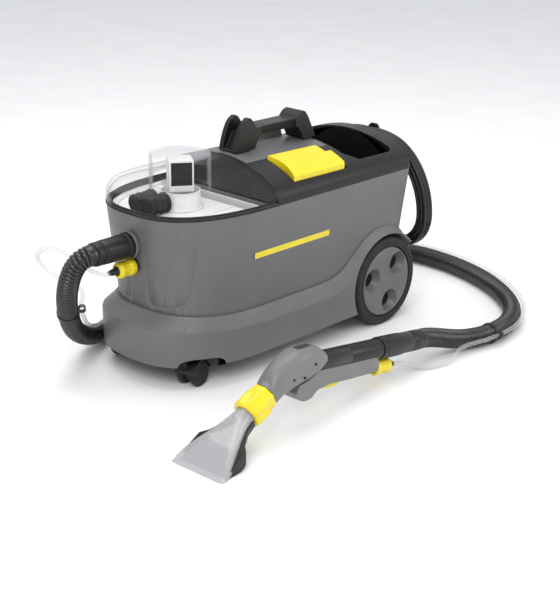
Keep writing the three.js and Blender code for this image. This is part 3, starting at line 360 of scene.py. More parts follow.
def lathe(name, profile, start, direction, sides=64, place=in_row, flute=None):
    """A turned piece. The profile is a closed loop of (radius, distance along) points.
    flute(angle, along) gives how far the surface sinks there."""
    along, side, up = axes_of(direction)
    start = Vector(start)
    points = []
    for i in range(sides):
        angle = 2 * math.pi * i / sides
        out = side * math.cos(angle) + up * math.sin(angle)
        for radius, distance in profile:
            sunk = flute(angle, distance) if flute and radius > 0 else 0
            points.append(start + along * distance + out * (radius - sunk))
    faces = ring_faces(sides, len(profile), closed=True)
    return build(name, points, faces, place)


def drum(name, radius, low, high, start, direction=(0, 0, 1), sides=64, place=in_row):
    """A plain round block from one distance to another along its axis."""
    return lathe(name, [(0, low), (radius, low), (radius, high), (0, high)], start, direction, sides, place)


def prism(name, outline, axis, span, place=in_row):
    """An outline extruded along an axis; its points hold the two other coordinates in x, y, z order."""
    order = {"x": lambda u, v, w: (w, u, v), "y": lambda u, v, w: (u, w, v), "z": lambda u, v, w: (u, v, w)}[axis]
    rings = [[order(u, v, w) for u, v in outline] for w in span]
    return loft(name, rings, place)


def block(name, x, y, z, place=in_row):
    return prism(name, [(x[0], y[0]), (x[1], y[0]), (x[1], y[1]), (x[0], y[1])], "z", z, place)


def bake(piece):
    """Applies the piece's modifiers to its mesh."""
    bpy.context.view_layer.update()
    seen = piece.evaluated_get(bpy.context.evaluated_depsgraph_get())
    mesh = bpy.data.meshes.new_from_object(seen)
    piece.modifiers.clear()
    piece.data = mesh


def carve(piece, *tools, operation="DIFFERENCE"):
    """Cuts, joins or intersects the piece with other solids, which are used up."""
    for tool in tools:
        modifier = piece.modifiers.new("carve", "BOOLEAN")
        modifier.operation = operation
        modifier.solver = "EXACT"
        modifier.object = tool
    bake(piece)
    for tool in tools:
        bpy.data.objects.remove(tool)


def within(piece, room):
    """Keeps only what lies inside another solid, which is used up."""
    carve(piece, room, operation="INTERSECT")


def soften(piece, width=1.0, segments=3, crease=32):
    """Rounds every edge sharper than the crease angle and shades the rest smooth."""
    body = bmesh.new()
    body.from_mesh(piece.data)
    bmesh.ops.remove_doubles(body, verts=body.verts, dist=1e-6)
    bmesh.ops.dissolve_limit(body, angle_limit=math.radians(0.5), verts=body.verts, edges=body.edges)
    body.to_mesh(piece.data)
    body.free()
    bevel = piece.modifiers.new("soft edges", "BEVEL")
    bevel.width = width * MM
    bevel.segments = segments
    bevel.limit_method = "ANGLE"
    bevel.angle_limit = math.radians(crease)
    bevel.miter_outer = "MITER_ARC"
    bevel.harden_normals = True
    smooth(piece, 60)
    return piece


def smooth(piece, crease=35):
    piece.data.shade_smooth()
    piece.data.set_sharp_from_angle(angle=math.radians(crease))
    return piece


def dress(piece, material, body="machine", nodes=()):
    """Gives the piece its material, its body and the CAD nodes it stands for."""
    look, slot = MATERIALS[material]
    piece.data.materials.clear()
    piece.data.materials.append(look)
    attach(piece, body)
    if nodes:
        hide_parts(*nodes)
    return piece


def rounded(piece, softness, look, body="machine", nodes=()):
    """A piece with softened edges, dressed; softness is (width, segments, and at times the crease angle)."""
    return dress(soften(piece, *softness), look, body, nodes)


def turned(name, profile, start, direction, sides, dressing, place=in_row, crease=30):
    """A turned piece, shaded smooth and dressed."""
    piece = smooth(lathe(name, profile, start, direction, sides, place), crease)
    return dress(piece, *dressing)


def polished(node, material, body="machine", width=0.8, segments=2, crease=32):
    """A refined copy of a CAD node: welded, its edges rounded and its curved faces shaded smooth."""
    piece = new_object(f"fine_{node}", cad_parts[node].data.copy())
    return rounded(piece, (width, segments, crease), material, body, [node])


def value_at(table, x):
    """Straight-line value of a table of (x, value) pairs."""
    if x <= table[0][0]:
        return table[0][1]
    for (x0, v0), (x1, v1) in zip(table, table[1:]):
        if x <= x1:
            return v0 + (v1 - v0) * (x - x0) / (x1 - x0)
    return table[-1][1]


def flowing(table, x):
    """Smooth value of a table of (x, value) pairs: a cubic through its points."""
    if x <= table[0][0]:
        return table[0][1]
    if x >= table[-1][0]:
        return table[-1][1]
    k = max(i for i in range(len(table) - 1) if table[i][0] <= x)
    (x0, v0), (x1, v1) = table[k], table[k + 1]
    t = (x - x0) / (x1 - x0)

    def slope(i):
        low, high = table[max(i - 1, 0)], table[min(i + 1, len(table) - 1)]
        return (high[1] - low[1]) / (high[0] - low[0])

    run = x1 - x0
    h00, h10 = 2 * t**3 - 3 * t**2 + 1, t**3 - 2 * t**2 + t
    h01, h11 = -2 * t**3 + 3 * t**2, t**3 - t**2
    return h00 * v0 + h10 * run * slope(k) + h01 * v1 + h11 * run * slope(k + 1)


def smooth_path(route, step):
    """Points about a step apart on a centripetal Catmull-Rom curve through the route."""
    route = [Vector(p) for p in route]
    ends = [route[0] * 2 - route[1], *route, route[-1] * 2 - route[-2]]
    path = []
    for a, b, c, d in zip(ends, ends[1:], ends[2:], ends[3:]):
        t0, t1 = 0, (b - a).length ** 0.5
        t2 = t1 + (c - b).length ** 0.5
        t3 = t2 + (d - c).length ** 0.5
        count = max(1, round((c - b).length / step))
        for i in range(count):
            t = t1 + (t2 - t1) * i / count
            p = a.lerp(b, (t - t0) / (t1 - t0))
            q = b.lerp(c, (t - t1) / (t2 - t1))
            r = c.lerp(d, (t - t2) / (t3 - t2))
            u = p.lerp(q, (t - t0) / (t2 - t0))
            v = q.lerp(r, (t - t1) / (t3 - t1))
            path.append(u.lerp(v, (t - t1) / (t2 - t1)))
    path.append(route[-1])
    return path


def even_path(route, step):
    """The same curve with its points exactly evenly spaced."""
    fine = smooth_path(route, step / 3)
    lengths = [0]
    for a, b in zip(fine, fine[1:]):
        lengths.append(lengths[-1] + (b - a).length)
    count = round(lengths[-1] / step)
    path, k = [], 0
    for i in range(count + 1):
        want = lengths[-1] * i / count
        while k < len(fine) - 2 and lengths[k + 1] < want:
            k += 1
        path.append(fine[k].lerp(fine[k + 1], (want - lengths[k]) / (lengths[k + 1] - lengths[k])))
    return path


def squared(angle, power):
    """A point of the unit superellipse."""
    c, s = math.cos(angle), math.sin(angle)
    return math.copysign(abs(c) ** (2 / power), c), math.copysign(abs(s) ** (2 / power), s)


def length_of(path):
    return sum((b - a).length for a, b in zip(path, path[1:]))


def swept(name, path, radius_at, sides):
    """A closed round tube along a path; radius_at(distance) gives its radius."""
    rings = []
    _, side, _ = axes_of(path[1] - path[0])
    distance = 0
    for k, point in enumerate(path):
        ahead = (path[min(k + 1, len(path) - 1)] - path[max(k - 1, 0)]).normalized()
        side = (side - ahead * side.dot(ahead)).normalized()
        up = ahead.cross(side)
        radius = radius_at(distance)
        rings.append([
            point + side * (radius * math.cos(a)) + up * (radius * math.sin(a))
            for a in (2 * math.pi * i / sides for i in range(sides))
        ])
        if k < len(path) - 1:
            distance += (path[k + 1] - point).length
    return loft(name, rings)


def curve_piece(name, path, radius):
    """A round cord as a curve of one open spline."""
    curve = bpy.data.curves.new(name, "CURVE")
    curve.dimensions = "3D"
    curve.bevel_depth = radius * MM
    curve.bevel_resolution = 4
    curve.use_fill_caps = True
    spline = curve.splines.new("POLY")
    spline.points.add(len(path) - 1)
    for spot, point in zip(spline.points, path):
        spot.co = (*in_row(point), 1)
    return new_object(name, curve)


# ------------------------------------------------------------------ hose, spray tube and mains cable
HOSE_ROUTE = [
    (-360.6, 0, 256), (-369, 0, 256), (-382, 3.5, 251), (-391.5, 10.5, 237), (-395, 20.5, 214), (-391, 34, 186),
    (-380, 50, 156), (-362, 69, 122), (-335, 93, 88), (-296, 121, 57), (-243, 153, 31), (-190, 178, HOSE_LOW),
    (-140, 188, HOSE_LOW), (-70, 194, HOSE_LOW), (20, 198, HOSE_LOW), (130, 200, HOSE_LOW),
    (250, 200, HOSE_LOW), (360, 197, HOSE_LOW), (450, 184, HOSE_LOW), (525, 154, HOSE_LOW),
    (580, 104, HOSE_LOW), (608, 40, HOSE_LOW), (611, -30, HOSE_LOW), (600, -100, HOSE_LOW),
    (576, -172, HOSE_LOW), (540, -240, HOSE_LOW), (492, -300, HOSE_LOW), (436, -342, HOSE_LOW),
    (374, -364, HOSE_LOW), (312, -364, HOSE_LOW), (262, -352, 23.5), (226, -342, 31),
    (192, -333.5, 40.5), (164, -329.8, 47.4), (139.6, -330.2, 51.25),
]
TUBE_ROUTE = [
    (-324.4, 0, 214), (-334, 0, 214), (-352, 14, 222), (-358, 40, 235), (-366, 74, 246), (-374, 112, 244),
    (-372, 140, 226), (-358, 152, 204), (-348, 140, 188), (-344, 112, 179), (-340, 82, 174), (-339, 58, 168),
]
TUBE_AT_TOOL = [
    (214, -374, 22), (190, -376, 9), (160, -371, 5), (128, -358, 6), (98, -341, 17), (72, -332.2, 24.6),
    (63, -332, 26),
]
TUBE_CLEAR = 25.4  # from the hose's middle to the tube's
CLIPPED = (0.072, 0.915)  # shares of the hose's length between which the tube rides on it
TUBE_RIDE = 26
LEAD_ROUTE = [(353.4, 80, 285), (362, 80.4, 285.4), (369, 84.5, 288.6), (374.5, 92, 293.8)]
RIB_PITCH, RIB_DEPTH = 6.5, 3.0
HOSE_COLLAR = 7
CABLE_TURNS = 8.5


def beside_hose(path, fraction):
    """Where the clear tube rides at a fraction of the hose's length."""
    k = min(len(path) - 2, max(1, round(fraction * (len(path) - 1))))
    along = (path[k + 1] - path[k - 1]).normalized()
    right = along.cross(Vector((0, 0, 1))).normalized()
    up = right.cross(along)
    angle = math.radians(value_at([(0.1, 20), (0.3, 140), (0.8, 150), (0.93, 175)], fraction))
    return path[k] + right * (TUBE_CLEAR * math.cos(angle)) + up * (TUBE_CLEAR * math.sin(angle))


def hose_radius(distance, total):
    """Round ribs with narrow valleys; a plain collar at each end."""
    if distance < HOSE_COLLAR or distance > total - HOSE_COLLAR:
        return HOSE_D / 2
    wave = abs(math.sin(math.pi * distance / RIB_PITCH))
    return HOSE_D / 2 - RIB_DEPTH + RIB_DEPTH * wave**0.6


def make_hose():
    path = even_path(HOSE_ROUTE, RIB_PITCH / 6)
    total = length_of(path)
    hose = swept("corrugated_hose", path, lambda d: hose_radius(d, total), sides=24)
    smooth(hose, 80)
    dress(hose, "hose_black", "machine", ["suction_hose"])
    [polished(f"hose_clip_{i}", "black_plastic", width=0.4) for i in (1, 2, 3)]


def make_spray_tube():
    hose = even_path(HOSE_ROUTE, 4)
    span = CLIPPED[1] - CLIPPED[0]
    ride = [beside_hose(hose, CLIPPED[0] + span * i / TUBE_RIDE) for i in range(TUBE_RIDE + 1)]
    path = even_path([*TUBE_ROUTE, *ride, *TUBE_AT_TOOL], 6)
    tube = curve_piece("clear_spray_tube", path, TUBE_D / 2)
    dress(tube, "clear_tube", "machine", ["spray_tube"])
    port = turned("port_nipple_turned", nipple_profile(26), (-297.5, 0, SPRAY_Z), (-1, 0, 0), 32,
                  ("black_plastic", "machine", ["port_nipple"]))
    end = turned("tool_nipple_turned", nipple_profile(24), (476, 0, 30.4), GRIP_AIM, 32,
                 ("black_plastic", "machine", ["tool_nipple"]), tool_in_row)


def nipple_profile(length):
    """A flange, a neck and barbs every 4 mm."""
    profile = [(2.4, 0), (8.6, 0), (8.8, 1), (8.8, 8), (8.2, 9), (6.2, 11)]
    barb = 11
    while barb + 4 < length:
        profile += [(6.2, barb + 0.6), (4.9, barb + 4)]
        barb += 4
    return profile + [(4.6, length), (2.4, length)]


HANK_MIDDLE = 238
TIE_ANGLE = math.radians(200)
HANK_HALF = [
    (0, 366), (45, 364), (88, 351), (130, 318), (158, 274), (172, 224), (172, 184), (156, 150), (122, 126),
    (70, 114), (0, 111),
]


def hank_radius(angle):
    """Distance from the hank's middle to its outside, at an angle from +y towards +z."""
    table = sorted(
        (math.atan2(z - HANK_MIDDLE, y * side), math.hypot(y, z - HANK_MIDDLE))
        for y, z in HANK_HALF for side in (1, -1) if y or side > 0
    )
    lap = 2 * math.pi
    table = [(a - lap, r) for a, r in table[-3:]] + table + [(a + lap, r) for a, r in table[:3]]
    return flowing(table, math.atan2(math.sin(angle), math.cos(angle)))


def hank_point(angle, inset, x):
    reach = hank_radius(angle) - inset
    return Vector((x, reach * math.cos(angle), HANK_MIDDLE + reach * math.sin(angle)))


def hank_slots():
    """(inset, x, window) for each turn: three layers of three, wound back and forth. The window is where the
    cable moves on from the turn before, so that it never crosses its neighbours."""
    layers, columns, slots = (27.5, 18.5, 9.5), (366, 375, 384), []
    for layer, inset in enumerate(layers):
        order = columns if layer % 2 == 0 else columns[::-1]
        for k, x in enumerate(order):
            slots.append((inset, x, 4 - 2 * layer + (1 if k == 0 else 0)))
    return slots


def make_mains_cable():
    slots = hank_slots()
    window, start, per_turn = math.radians(9), math.radians(48), 48
    route = [Vector(p) for p in LEAD_ROUTE]
    for i in range(round(CABLE_TURNS * per_turn)):
        turn, share = divmod(i / per_turn, 1)
        inset, x, late = slots[int(turn)]
        if turn > 0:
            before_inset, before_x, _ = slots[int(turn) - 1]
            ease = min(1, max(0, share * 2 * math.pi / window - late))
            ease = ease * ease * (3 - 2 * ease)
            inset = before_inset + (inset - before_inset) * ease
            x = before_x + (x - before_x) * ease
        route.append(hank_point(start + 2 * math.pi * i / per_turn, inset, x))
    last = start + 2 * math.pi * CABLE_TURNS
    route += [
        hank_point(last, 9.5, 386),
        hank_point(last + 0.12, 12, 391.8),
        hank_point(last + 0.30, 22, 392),
        hank_point(last + 0.48, 34, 391),
        Vector((383, -60, 158)), Vector((376, -20, 166)), Vector((375, 10, 168)), Vector((375, 27.5, 168)),
    ]
    path = smooth_path(route, 9)
    cable = curve_piece("mains_cable", path, LEAD_D / 2)
    dress(cable, "cable_black", "machine", ["power_lead", "power_hank"])
    plug = polished("mains_plug", "cable_black", width=1.0)
    tie = turned("cable_tie", [(12.78, -8.52), (14.484, -8.52), (14.484, 8.52), (12.78, 8.52)],
                 hank_point(TIE_ANGLE, 18.5, 375), (0, -math.sin(TIE_ANGLE), math.cos(TIE_ANGLE)), 24,
                 ("rubber_black",), crease=40)


# ------------------------------------------------------------------ plan outline of the machine
NOSE_STEPS = 56
CORNER_STEPS = 6
SIDE_STEPS = 44


def plan_ring(half, front, rear, height_at):
    """One ring of the plan: straight sides, round rear corners and a superellipse nose."""
    side_end = rear - CORNER_R
    near = []
    for i in range(CORNER_STEPS, 0, -1):
        angle = i / CORNER_STEPS * math.pi / 2
        near.append((side_end + CORNER_R * math.sin(angle), -half + CORNER_R * (1 - math.cos(angle))))
    near += [(side_end + (SEAM_X - side_end) * i / SIDE_STEPS, -half) for i in range(SIDE_STEPS + 1)]
    nose = []
    for i in range(1, NOSE_STEPS):
        across, reach = squared(i / NOSE_STEPS * math.pi, NOSE_POWER)
        nose.append((SEAM_X - (SEAM_X - front) * reach, -across * half))
    far = [(x, -y) for x, y in reversed(near)]
    return [(x, y, height_at(x)) for x, y in near + nose + far]


def slab(name, half, front, rear, heights):
    """A block with the machine's plan outline and level rings at the given heights."""
    return loft(name, [plan_ring(half, front, rear, lambda x, z=z: z) for z in heights])


def body_ring(z, grow=0.0):
    below = RIM_Z - z
    return plan_ring(
        BODY_HALF - SIDE_DRAFT * below + grow,
        BODY_FRONT + FRONT_DRAFT * below - grow,
        BODY_REAR - REAR_DRAFT * min(below, RIM_Z - REAR_BREAK_Z) + grow,
        lambda x: z,
    )


def body_solid(name, low, high, grow=0.0):
    return loft(name, [body_ring(z, grow) for z in sorted([low, REAR_BREAK_Z, high])])


def nose_half(x, front, half):
    reach = min(1, max(0, (SEAM_X - x) / (SEAM_X - front)))
    return half * (1 - reach**NOSE_POWER) ** (1 / NOSE_POWER)


def wheel_tunnel(radius, from_y, to_y, side):
    return drum("tunnel", radius, from_y, to_y, (WHEEL_X, 0, WHEEL_Z), (0, side, 0), 96)


# ------------------------------------------------------------------ grey body and bumper
# heights of the bumper's ledge along x: where it meets the body, just outside that, and its outer edge
LEDGE_TOP = [
    (-290, 134), (-255, 134), (-200, 131), (-150, 129.5), (-40, 130), (90, 131), (118, 136), (139, 145), (165, 165),
    (195, 188), (225, 201), (256, 205), (287, 201), (312, 186), (330, 164), (344, 146),
]
LEDGE_FOLD = [
    (-290, 130), (-255, 130), (-200, 127), (-150, 126), (-100, 127.5), (-40, 128), (90, 129), (118, 134), (139, 143),
    (165, 163), (195, 186), (225, 199.4), (256, 203.4), (287, 199.4), (312, 184), (330, 162), (344, 144),
]
LEDGE_LOW = [
    (-290, 113), (-240, 112), (-100, 104), (90, 104), (125, 110), (152, 128), (175, 152), (195, 172), (225, 188),
    (256, 192), (287, 188), (312, 174), (330, 152), (344, 126),
]
# the recessed panel's edge and the crease inside it, as (y, z) on the near half of the nose
NOSE_PANEL = [
    (-120, 293), (-118, 268), (-112.5, 226), (-106, 190), (-101, 168), (-94, 154), (-82, 148), (-60, 144.5),
    (-38, 143), (-29, 145), (-24.5, 152), (-24, 166), (-24, 186),
]
NOSE_CREASE = [(-99, 296), (-86, 254), (-76, 226), (-62.5, 196)]
GROOVE_R, GROOVE_PROUD = 3.6, 3.0


def nose_groove(line, side):
    """A shallow rounded groove in the nose: a round bar whose middle stands proud of the skin."""
    path = []
    for y, z in line:
        below = RIM_Z - z
        half = BODY_HALF - SIDE_DRAFT * below + GROOVE_PROUD
        front = BODY_FRONT + FRONT_DRAFT * below - GROOVE_PROUD
        reach = (1 - (abs(y) / half) ** NOSE_POWER) ** (1 / NOSE_POWER)
        path.append(Vector((SEAM_X - (SEAM_X - front) * reach, side * y, z)))
    return swept("groove", path, lambda distance: GROOVE_R, 32)


def make_body():
    shell = body_solid("grey_body", BODY_BOTTOM, RIM_Z - 0.3)
    bay = body_solid("bay", BODY_BOTTOM + BODY_WALL, 330, -BODY_WALL)
    within(bay, block("front_part", (-320, -58), WIDE, (0, 400)))
    rear = body_solid("rear", 100, 330, -BODY_WALL)
    within(rear, block("rear_part", (-54, 400), WIDE, (90, 400)))
    tools = [bay, rear]
    tools += [wheel_tunnel(WELL_R + 3.7, WELL_Y - 3.3, 220, side) for side in (-1, 1)]
    tools += [drum("hole", radius, -60, 30, (-270, 0, z), (1, 0, 0)) for z, radius in ((PORT_Z, 21.6), (SPRAY_Z, 9.4))]
    tools += [nose_groove(line, side) for line in (NOSE_PANEL, NOSE_CREASE) for side in (-1, 1)]
    carve(shell, *tools)
    soften(shell, 1.6, 3, 40)
    smooth(shell, 32)
    dress(shell, "body_grey", "machine", ["fresh_water_tank"])


def make_bumper():
    def level(half, front, rear, z):
        return plan_ring(half, front, rear, lambda x: z)

    def ledge(half, front, rear, table, lift=0.0):
        return plan_ring(half, front, rear, lambda x: flowing(table, x) + lift)

    rings = [
        level(BUMPER_HALF - 4, BUMPER_FRONT + 6, BUMPER_REAR - 6, BUMPER_BOTTOM),
        level(BUMPER_HALF - 1.2, BUMPER_FRONT + 3, BUMPER_REAR - 2.4, BUMPER_BOTTOM + 1.5),
        level(BUMPER_HALF, BUMPER_FRONT + 2, BUMPER_REAR - 1, BUMPER_BOTTOM + 5),
        ledge(BUMPER_HALF, BUMPER_FRONT, BUMPER_REAR, LEDGE_LOW, -2.5),
        ledge(BUMPER_HALF - 0.9, BUMPER_FRONT + 1, BUMPER_REAR - 0.6, LEDGE_LOW, 0.8),
        ledge(BODY_HALF - 0.6, BODY_FRONT + 14, BUMPER_REAR - 9, LEDGE_FOLD),
        ledge(BODY_HALF - 1.5, BODY_FRONT + 18, BUMPER_REAR - 10, LEDGE_TOP),
    ]
    tray = loft("grey_bumper", rings, bent_caps=True)
    pocket = slab("pocket", BODY_HALF - 7, BODY_FRONT + 26, BUMPER_REAR - 14, (30, 57))
    carve(tray, body_solid("room", BODY_BOTTOM - 0.3, 330, 0.3), pocket)
    liners = [wheel_tunnel(WELL_R + 3.4, WELL_Y - 3, BUMPER_HALF - 3, side) for side in (-1, 1)]
    for liner in liners:
        within(liner, slab("envelope", BUMPER_HALF - 1, BUMPER_FRONT, BUMPER_REAR - 1, (44, 300)))
    carve(tray, *liners, operation="UNION")
    carve(tray, *[wheel_tunnel(WELL_R, WELL_Y, 220, side) for side in (-1, 1)])
    carve(tray, *[caster_bay(0, 20, side) for side in (-1, 1)])
    rounded(tray, (1.2, 3, 34), "body_grey", "machine", ["chassis_bumper"])


def caster_bay(inset, foot, side):
    """A round recess over one caster; its shoulder is rounded, so the notch it leaves in the skirt is an arch."""
    shoulder = [(0, -13), (1.8, -7.5), (6, -3), (12, -0.6), (18, 0)]
    radius, top = CASTER_BAY_R - inset, CASTER_BAY_TOP - inset
    outline = [(0, foot), (radius, foot), *[(radius - inward, top + drop) for inward, drop in shoulder], (0, top)]
    return lathe("caster_bay", outline, (CASTER_X, side * CASTER_Y, 0), (0, 0, 1), 96)


def make_caster_bay_shade():
    """A black shell in each caster's recess, seen through the notch in the bumper's skirt: painted shade, standing in
    for the shadow on the floor under the machine.
    """
    for side, label in SIDES:
        shade_lining = caster_bay(0.3, 42.2, side)
        swivel = (CASTER_X, side * CASTER_Y, 0)
        carve(shade_lining, drum("sweep", CASTER_SWEEP_R, 30, CASTER_BAY_TOP - 1.4, swivel, sides=96))
        within(shade_lining, slab("skirt", BUMPER_HALF - 2, BUMPER_FRONT + 4, BUMPER_REAR, (30, 70)))
        shade_lining.name = f"caster_bay_{label}"
        # painted shade: the darkest black stands for the shadow under the machine
        dress(shade_lining, "deep_black_and_shade")


def make_stripe():
    """The plain yellow band on each flank, a film a fraction of a millimetre proud of the body."""
    for side, label in SIDES:
        def skin(z, proud):
            return side * (BODY_HALF - SIDE_DRAFT * (RIM_Z - z) + proud)
        corners = [(-108, 223.5), (93, 223.5), (93, 234.5), (-108, 234.5)]
        points = [(x, skin(z, proud), z) for proud in (-0.4, 0.25) for x, z in corners]
        faces = [(0, 1, 2, 3), (4, 5, 6, 7), *[(i, (i + 1) % 4, (i + 1) % 4 + 4, i + 4) for i in range(4)]]
        band = build(f"stripe_{label}", points, faces)
        rounded(band, (0.15, 2), "yellow_plastic")


# ------------------------------------------------------------------ black cover, deck, rocker caps and handle
CREASE_WIDTH, CREASE_RISE = 0.878, 0.508  # where the cover's side folds into its top
LOWER_ARCH = [(0, 0), (0.22, 0.14), (0.5, 0.29), (0.78, 0.42), (1, CREASE_RISE)]
LOWER_WIDTH = [(0, 1), (0.22, 0.994), (0.5, 0.970), (0.78, 0.925), (1, CREASE_WIDTH)]
UPPER_ARCH = [
    (CREASE_WIDTH, CREASE_RISE), (0.75, 0.655), (0.62, 0.77), (0.49, 0.857), (0.35, 0.925), (0.18, 0.98), (0, 1),
]


def arch_fractions():
    """(share of half-width, share of rise) from the edge, over the crease, to the crown."""
    lower = [(flowing(LOWER_WIDTH, t / 6), flowing(LOWER_ARCH, t / 6)) for t in range(6)]
    rising = [(-w, r) for w, r in UPPER_ARCH]
    widths = [CREASE_WIDTH * (1 - t / 22) for t in range(23)]
    return lower + [(w, flowing(rising, -w)) for w in widths]


ARCH = arch_fractions()
BOXY = [(1, 0), (0.998, 0.66), (0.95, 0.86), (0.8, 0.93), (0.6, 0.965), (0.4, 0.985), (0.2, 0.997), (0, 1)]


def boxy_fractions():
    """The same number of points as the arch, on a squarer section with a rounded shoulder."""
    lengths = [0]
    for (w0, r0), (w1, r1) in zip(BOXY, BOXY[1:]):
        lengths.append(lengths[-1] + math.hypot(w1 - w0, (r1 - r0) * 0.4))
    widths = list(zip(lengths, [w for w, _ in BOXY]))
    rises = list(zip(lengths, [r for _, r in BOXY]))
    steps = [lengths[-1] * i / (len(ARCH) - 1) for i in range(len(ARCH))]
    return [(flowing(widths, s), flowing(rises, s)) for s in steps]


BOX_ARCH = boxy_fractions()


def arch_section(x, half, base, crown, boxiness=0.0):
    near = []
    for (w, r), (bw, br) in zip(ARCH, BOX_ARCH):
        wide, rise = w + (bw - w) * boxiness, r + (br - r) * boxiness
        near.append((x, -half * wide, base + (crown - base) * rise))
    return near + [(x, -y, z) for x, y, z in reversed(near[:-1])]


def cover_crown(x):
    return RIM_Z + COVER_FRONT_RISE + (COVER_REAR_RISE - COVER_FRONT_RISE) * (x - SEAM_X) / (BODY_REAR - SEAM_X)


def cover_block(name, start, end, offset, base=RIM_Z + 0.3):
    return loft(name, [arch_section(x, BODY_HALF + offset, base, cover_crown(x) + offset) for x in (start, end)])


def fill_outline(inset):
    x0, x1 = FILL["x"][0] + inset, FILL["x"][1] - inset
    y, c = FILL["y"] - inset, FILL["chamfer"]
    near = [(x0, -y + c), (x0 + c, -y), (x1 - 10, -y), (x1, -y + 10)]
    return near + [(x, -v) for x, v in reversed(near)]


def pad_outline(grow):
    front, rear, tail = PAD["front"] - grow, PAD["rear"] + grow, PAD["tail"] + grow
    inner, split, outer = PAD["inner"] + grow, PAD["split"] + grow, PAD["outer"] - grow
    return [(front, outer), (tail, outer), (tail, split), (rear, split), (rear, inner), (front, inner)]


def make_cover():
    cover = cover_block("black_cover", SEAM_X, BODY_REAR + 4, 0)
    within(cover, slab("plan", BODY_HALF, BODY_FRONT, BODY_REAR, (300, 420)))
    carve(cover, cover_block("inside", SEAM_X + 3, BODY_REAR - 3, -3, 290))
    carve(cover, prism("mouth", fill_outline(0), "z", (215, 420)))
    carve(cover, prism("pads", pad_outline(1.3), "z", (300, 420)))
    carve(cover, block("deck_room", DECK["x"], (-DECK["y"], DECK["y"]), (320, 420)))
    rounded(cover, (1.3, 3, 24), "black_plastic", "machine", ["top_frame"])
    # The fill opening's liner is a real black part; its darker black is painted shade inside the opening.
    shade_lining = prism("fill_lining", fill_outline(-2.6), "z", (203, 420))
    carve(shade_lining, prism("fill_room", fill_outline(0.4), "z", (206, 430)))
    carve(shade_lining, drum("filter_hole", 24, 190, 220, (234, 0, 0), sides=48))
    within(shade_lining, cover_block("under_cover", SEAM_X, BODY_REAR, -0.9, 190))
    rounded(shade_lining, (0.8, 2), "deep_black_and_shade", "machine", ["fill_liner"])


def make_deck():
    deck = cover_block("deck", SEAM_X, 200, 0.2)
    carve(deck, cover_block("deck_inside", SEAM_X - 5, 205, -3.2, 280))
    (x0, x1), y = DECK["x"], DECK["y"] - 0.3
    within(deck, block("patch", (x0 + 0.3, x1 - 0.3), (-y, y), (330, 420)))
    rounded(deck, (0.9, 3), "body_grey", "machine", ["deck_plate"])
    hump = prism("deck_block", [(30, 366), (36, 388), (52, 388), (60.6, 378), (60.6, 366)], "x", (84, 150))
    rounded(hump, (3, 4), "body_grey")


def rocker_cap(name, outline):
    cap = cover_block(name, -20, 200, 7)
    carve(cap, cover_block("cap_inside", -25, 205, -4, 280))
    within(cap, prism("cap_plan", outline, "z", (320, 420)))
    return soften(cap, 2.2, 4, 34)


def scooped_front(from_y, to_y):
    """The caps' shared front edge, hollowed in a shallow curve."""
    front = []
    for i in range(11):
        y = from_y + (to_y - from_y) * i / 10
        share = (y - PAD["outer"]) / (PAD["inner"] - PAD["outer"])
        front.append((PAD["front"] + 8.5 * math.sin(math.pi * share), y))
    return front


def make_rockers():
    inner, split, outer, rear, tail = (PAD[edge] for edge in ("inner", "split", "outer", "rear", "tail"))
    suction = [*scooped_front(inner, split + 0.3), (rear, split + 0.3), (rear, inner)]
    spray = [*scooped_front(split - 0.3, outer), (tail - 6, outer), (tail, outer + 6), (tail, split - 0.3)]
    dress(rocker_cap("suction_cap", suction), "yellow_plastic", "suction_rocker", ["suction_switch"])
    dress(rocker_cap("spray_cap", spray), "yellow_plastic", "spray_rocker", ["spray_switch"])


def make_handle():
    side = [
        (-35, 380.6), (-33.6, 388), (-31.4, 397), (-27.6, 409), (-23, 420), (-17.6, 430), (-11, 437), (-3, 441.8),
        (3, 441.6), (9, 437), (14, 430), (18, 422.4), (24, 421), (128, 421), (133, 426), (138, 430.6), (148, 433.8),
        (155, 431), (162, 422), (170, 408), (178, 392.6), (186, 376.8), (150, 376.8), (145, 386), (140, 395),
        (132, 404), (34, 404), (24, 396), (16, 380.8),
    ]
    handle = prism("carry_bar", side, "y", (-HANDLE_HALF, HANDLE_HALF))
    tools = [
        block("notch", (-60, 17), (-12, 13), (413, 460)),
        prism("slope", [(-60, 386), (-24, 386), (-8, 413.2), (-60, 413.2)], "y", (-12, 13)),
    ]
    for flank in (-1, 1):
        slit = [(flank * 30, 402), (flank * 16, 402), (flank * 20, 421.5), (flank * 30, 421.5)]
        tools.append(prism("slit", slit, "x", (34, 128)))
    carve(handle, *tools)
    rounded(handle, (2.4, 4, 30), "black_plastic", "machine", ["carry_handle"])


# ------------------------------------------------------------------ clear lid, seal and waste tank
LID_CROWN = [(-277, 337), (-262, 341), (-235, 345), (-200, 351), (-98, 368), (SEAM_X, 380)]


def lid_block(name, offset, base, from_x):
    reach = BODY_FRONT - offset
    steps = 30
    rings = []
    for i in range(steps + 1):
        share = math.sin(math.pi / 2 * min(1, i / steps * 0.995))
        x = from_x + (reach + 0.5 - from_x) * share
        half = max(4.0, nose_half(x, reach, BODY_HALF + offset))
        boxiness = min(1, max(0, (SEAM_X - x - 20) / 130))
        rings.append(arch_section(x, half, base, value_at(LID_CROWN, x) + offset, boxiness))
    return loft(name, rings)


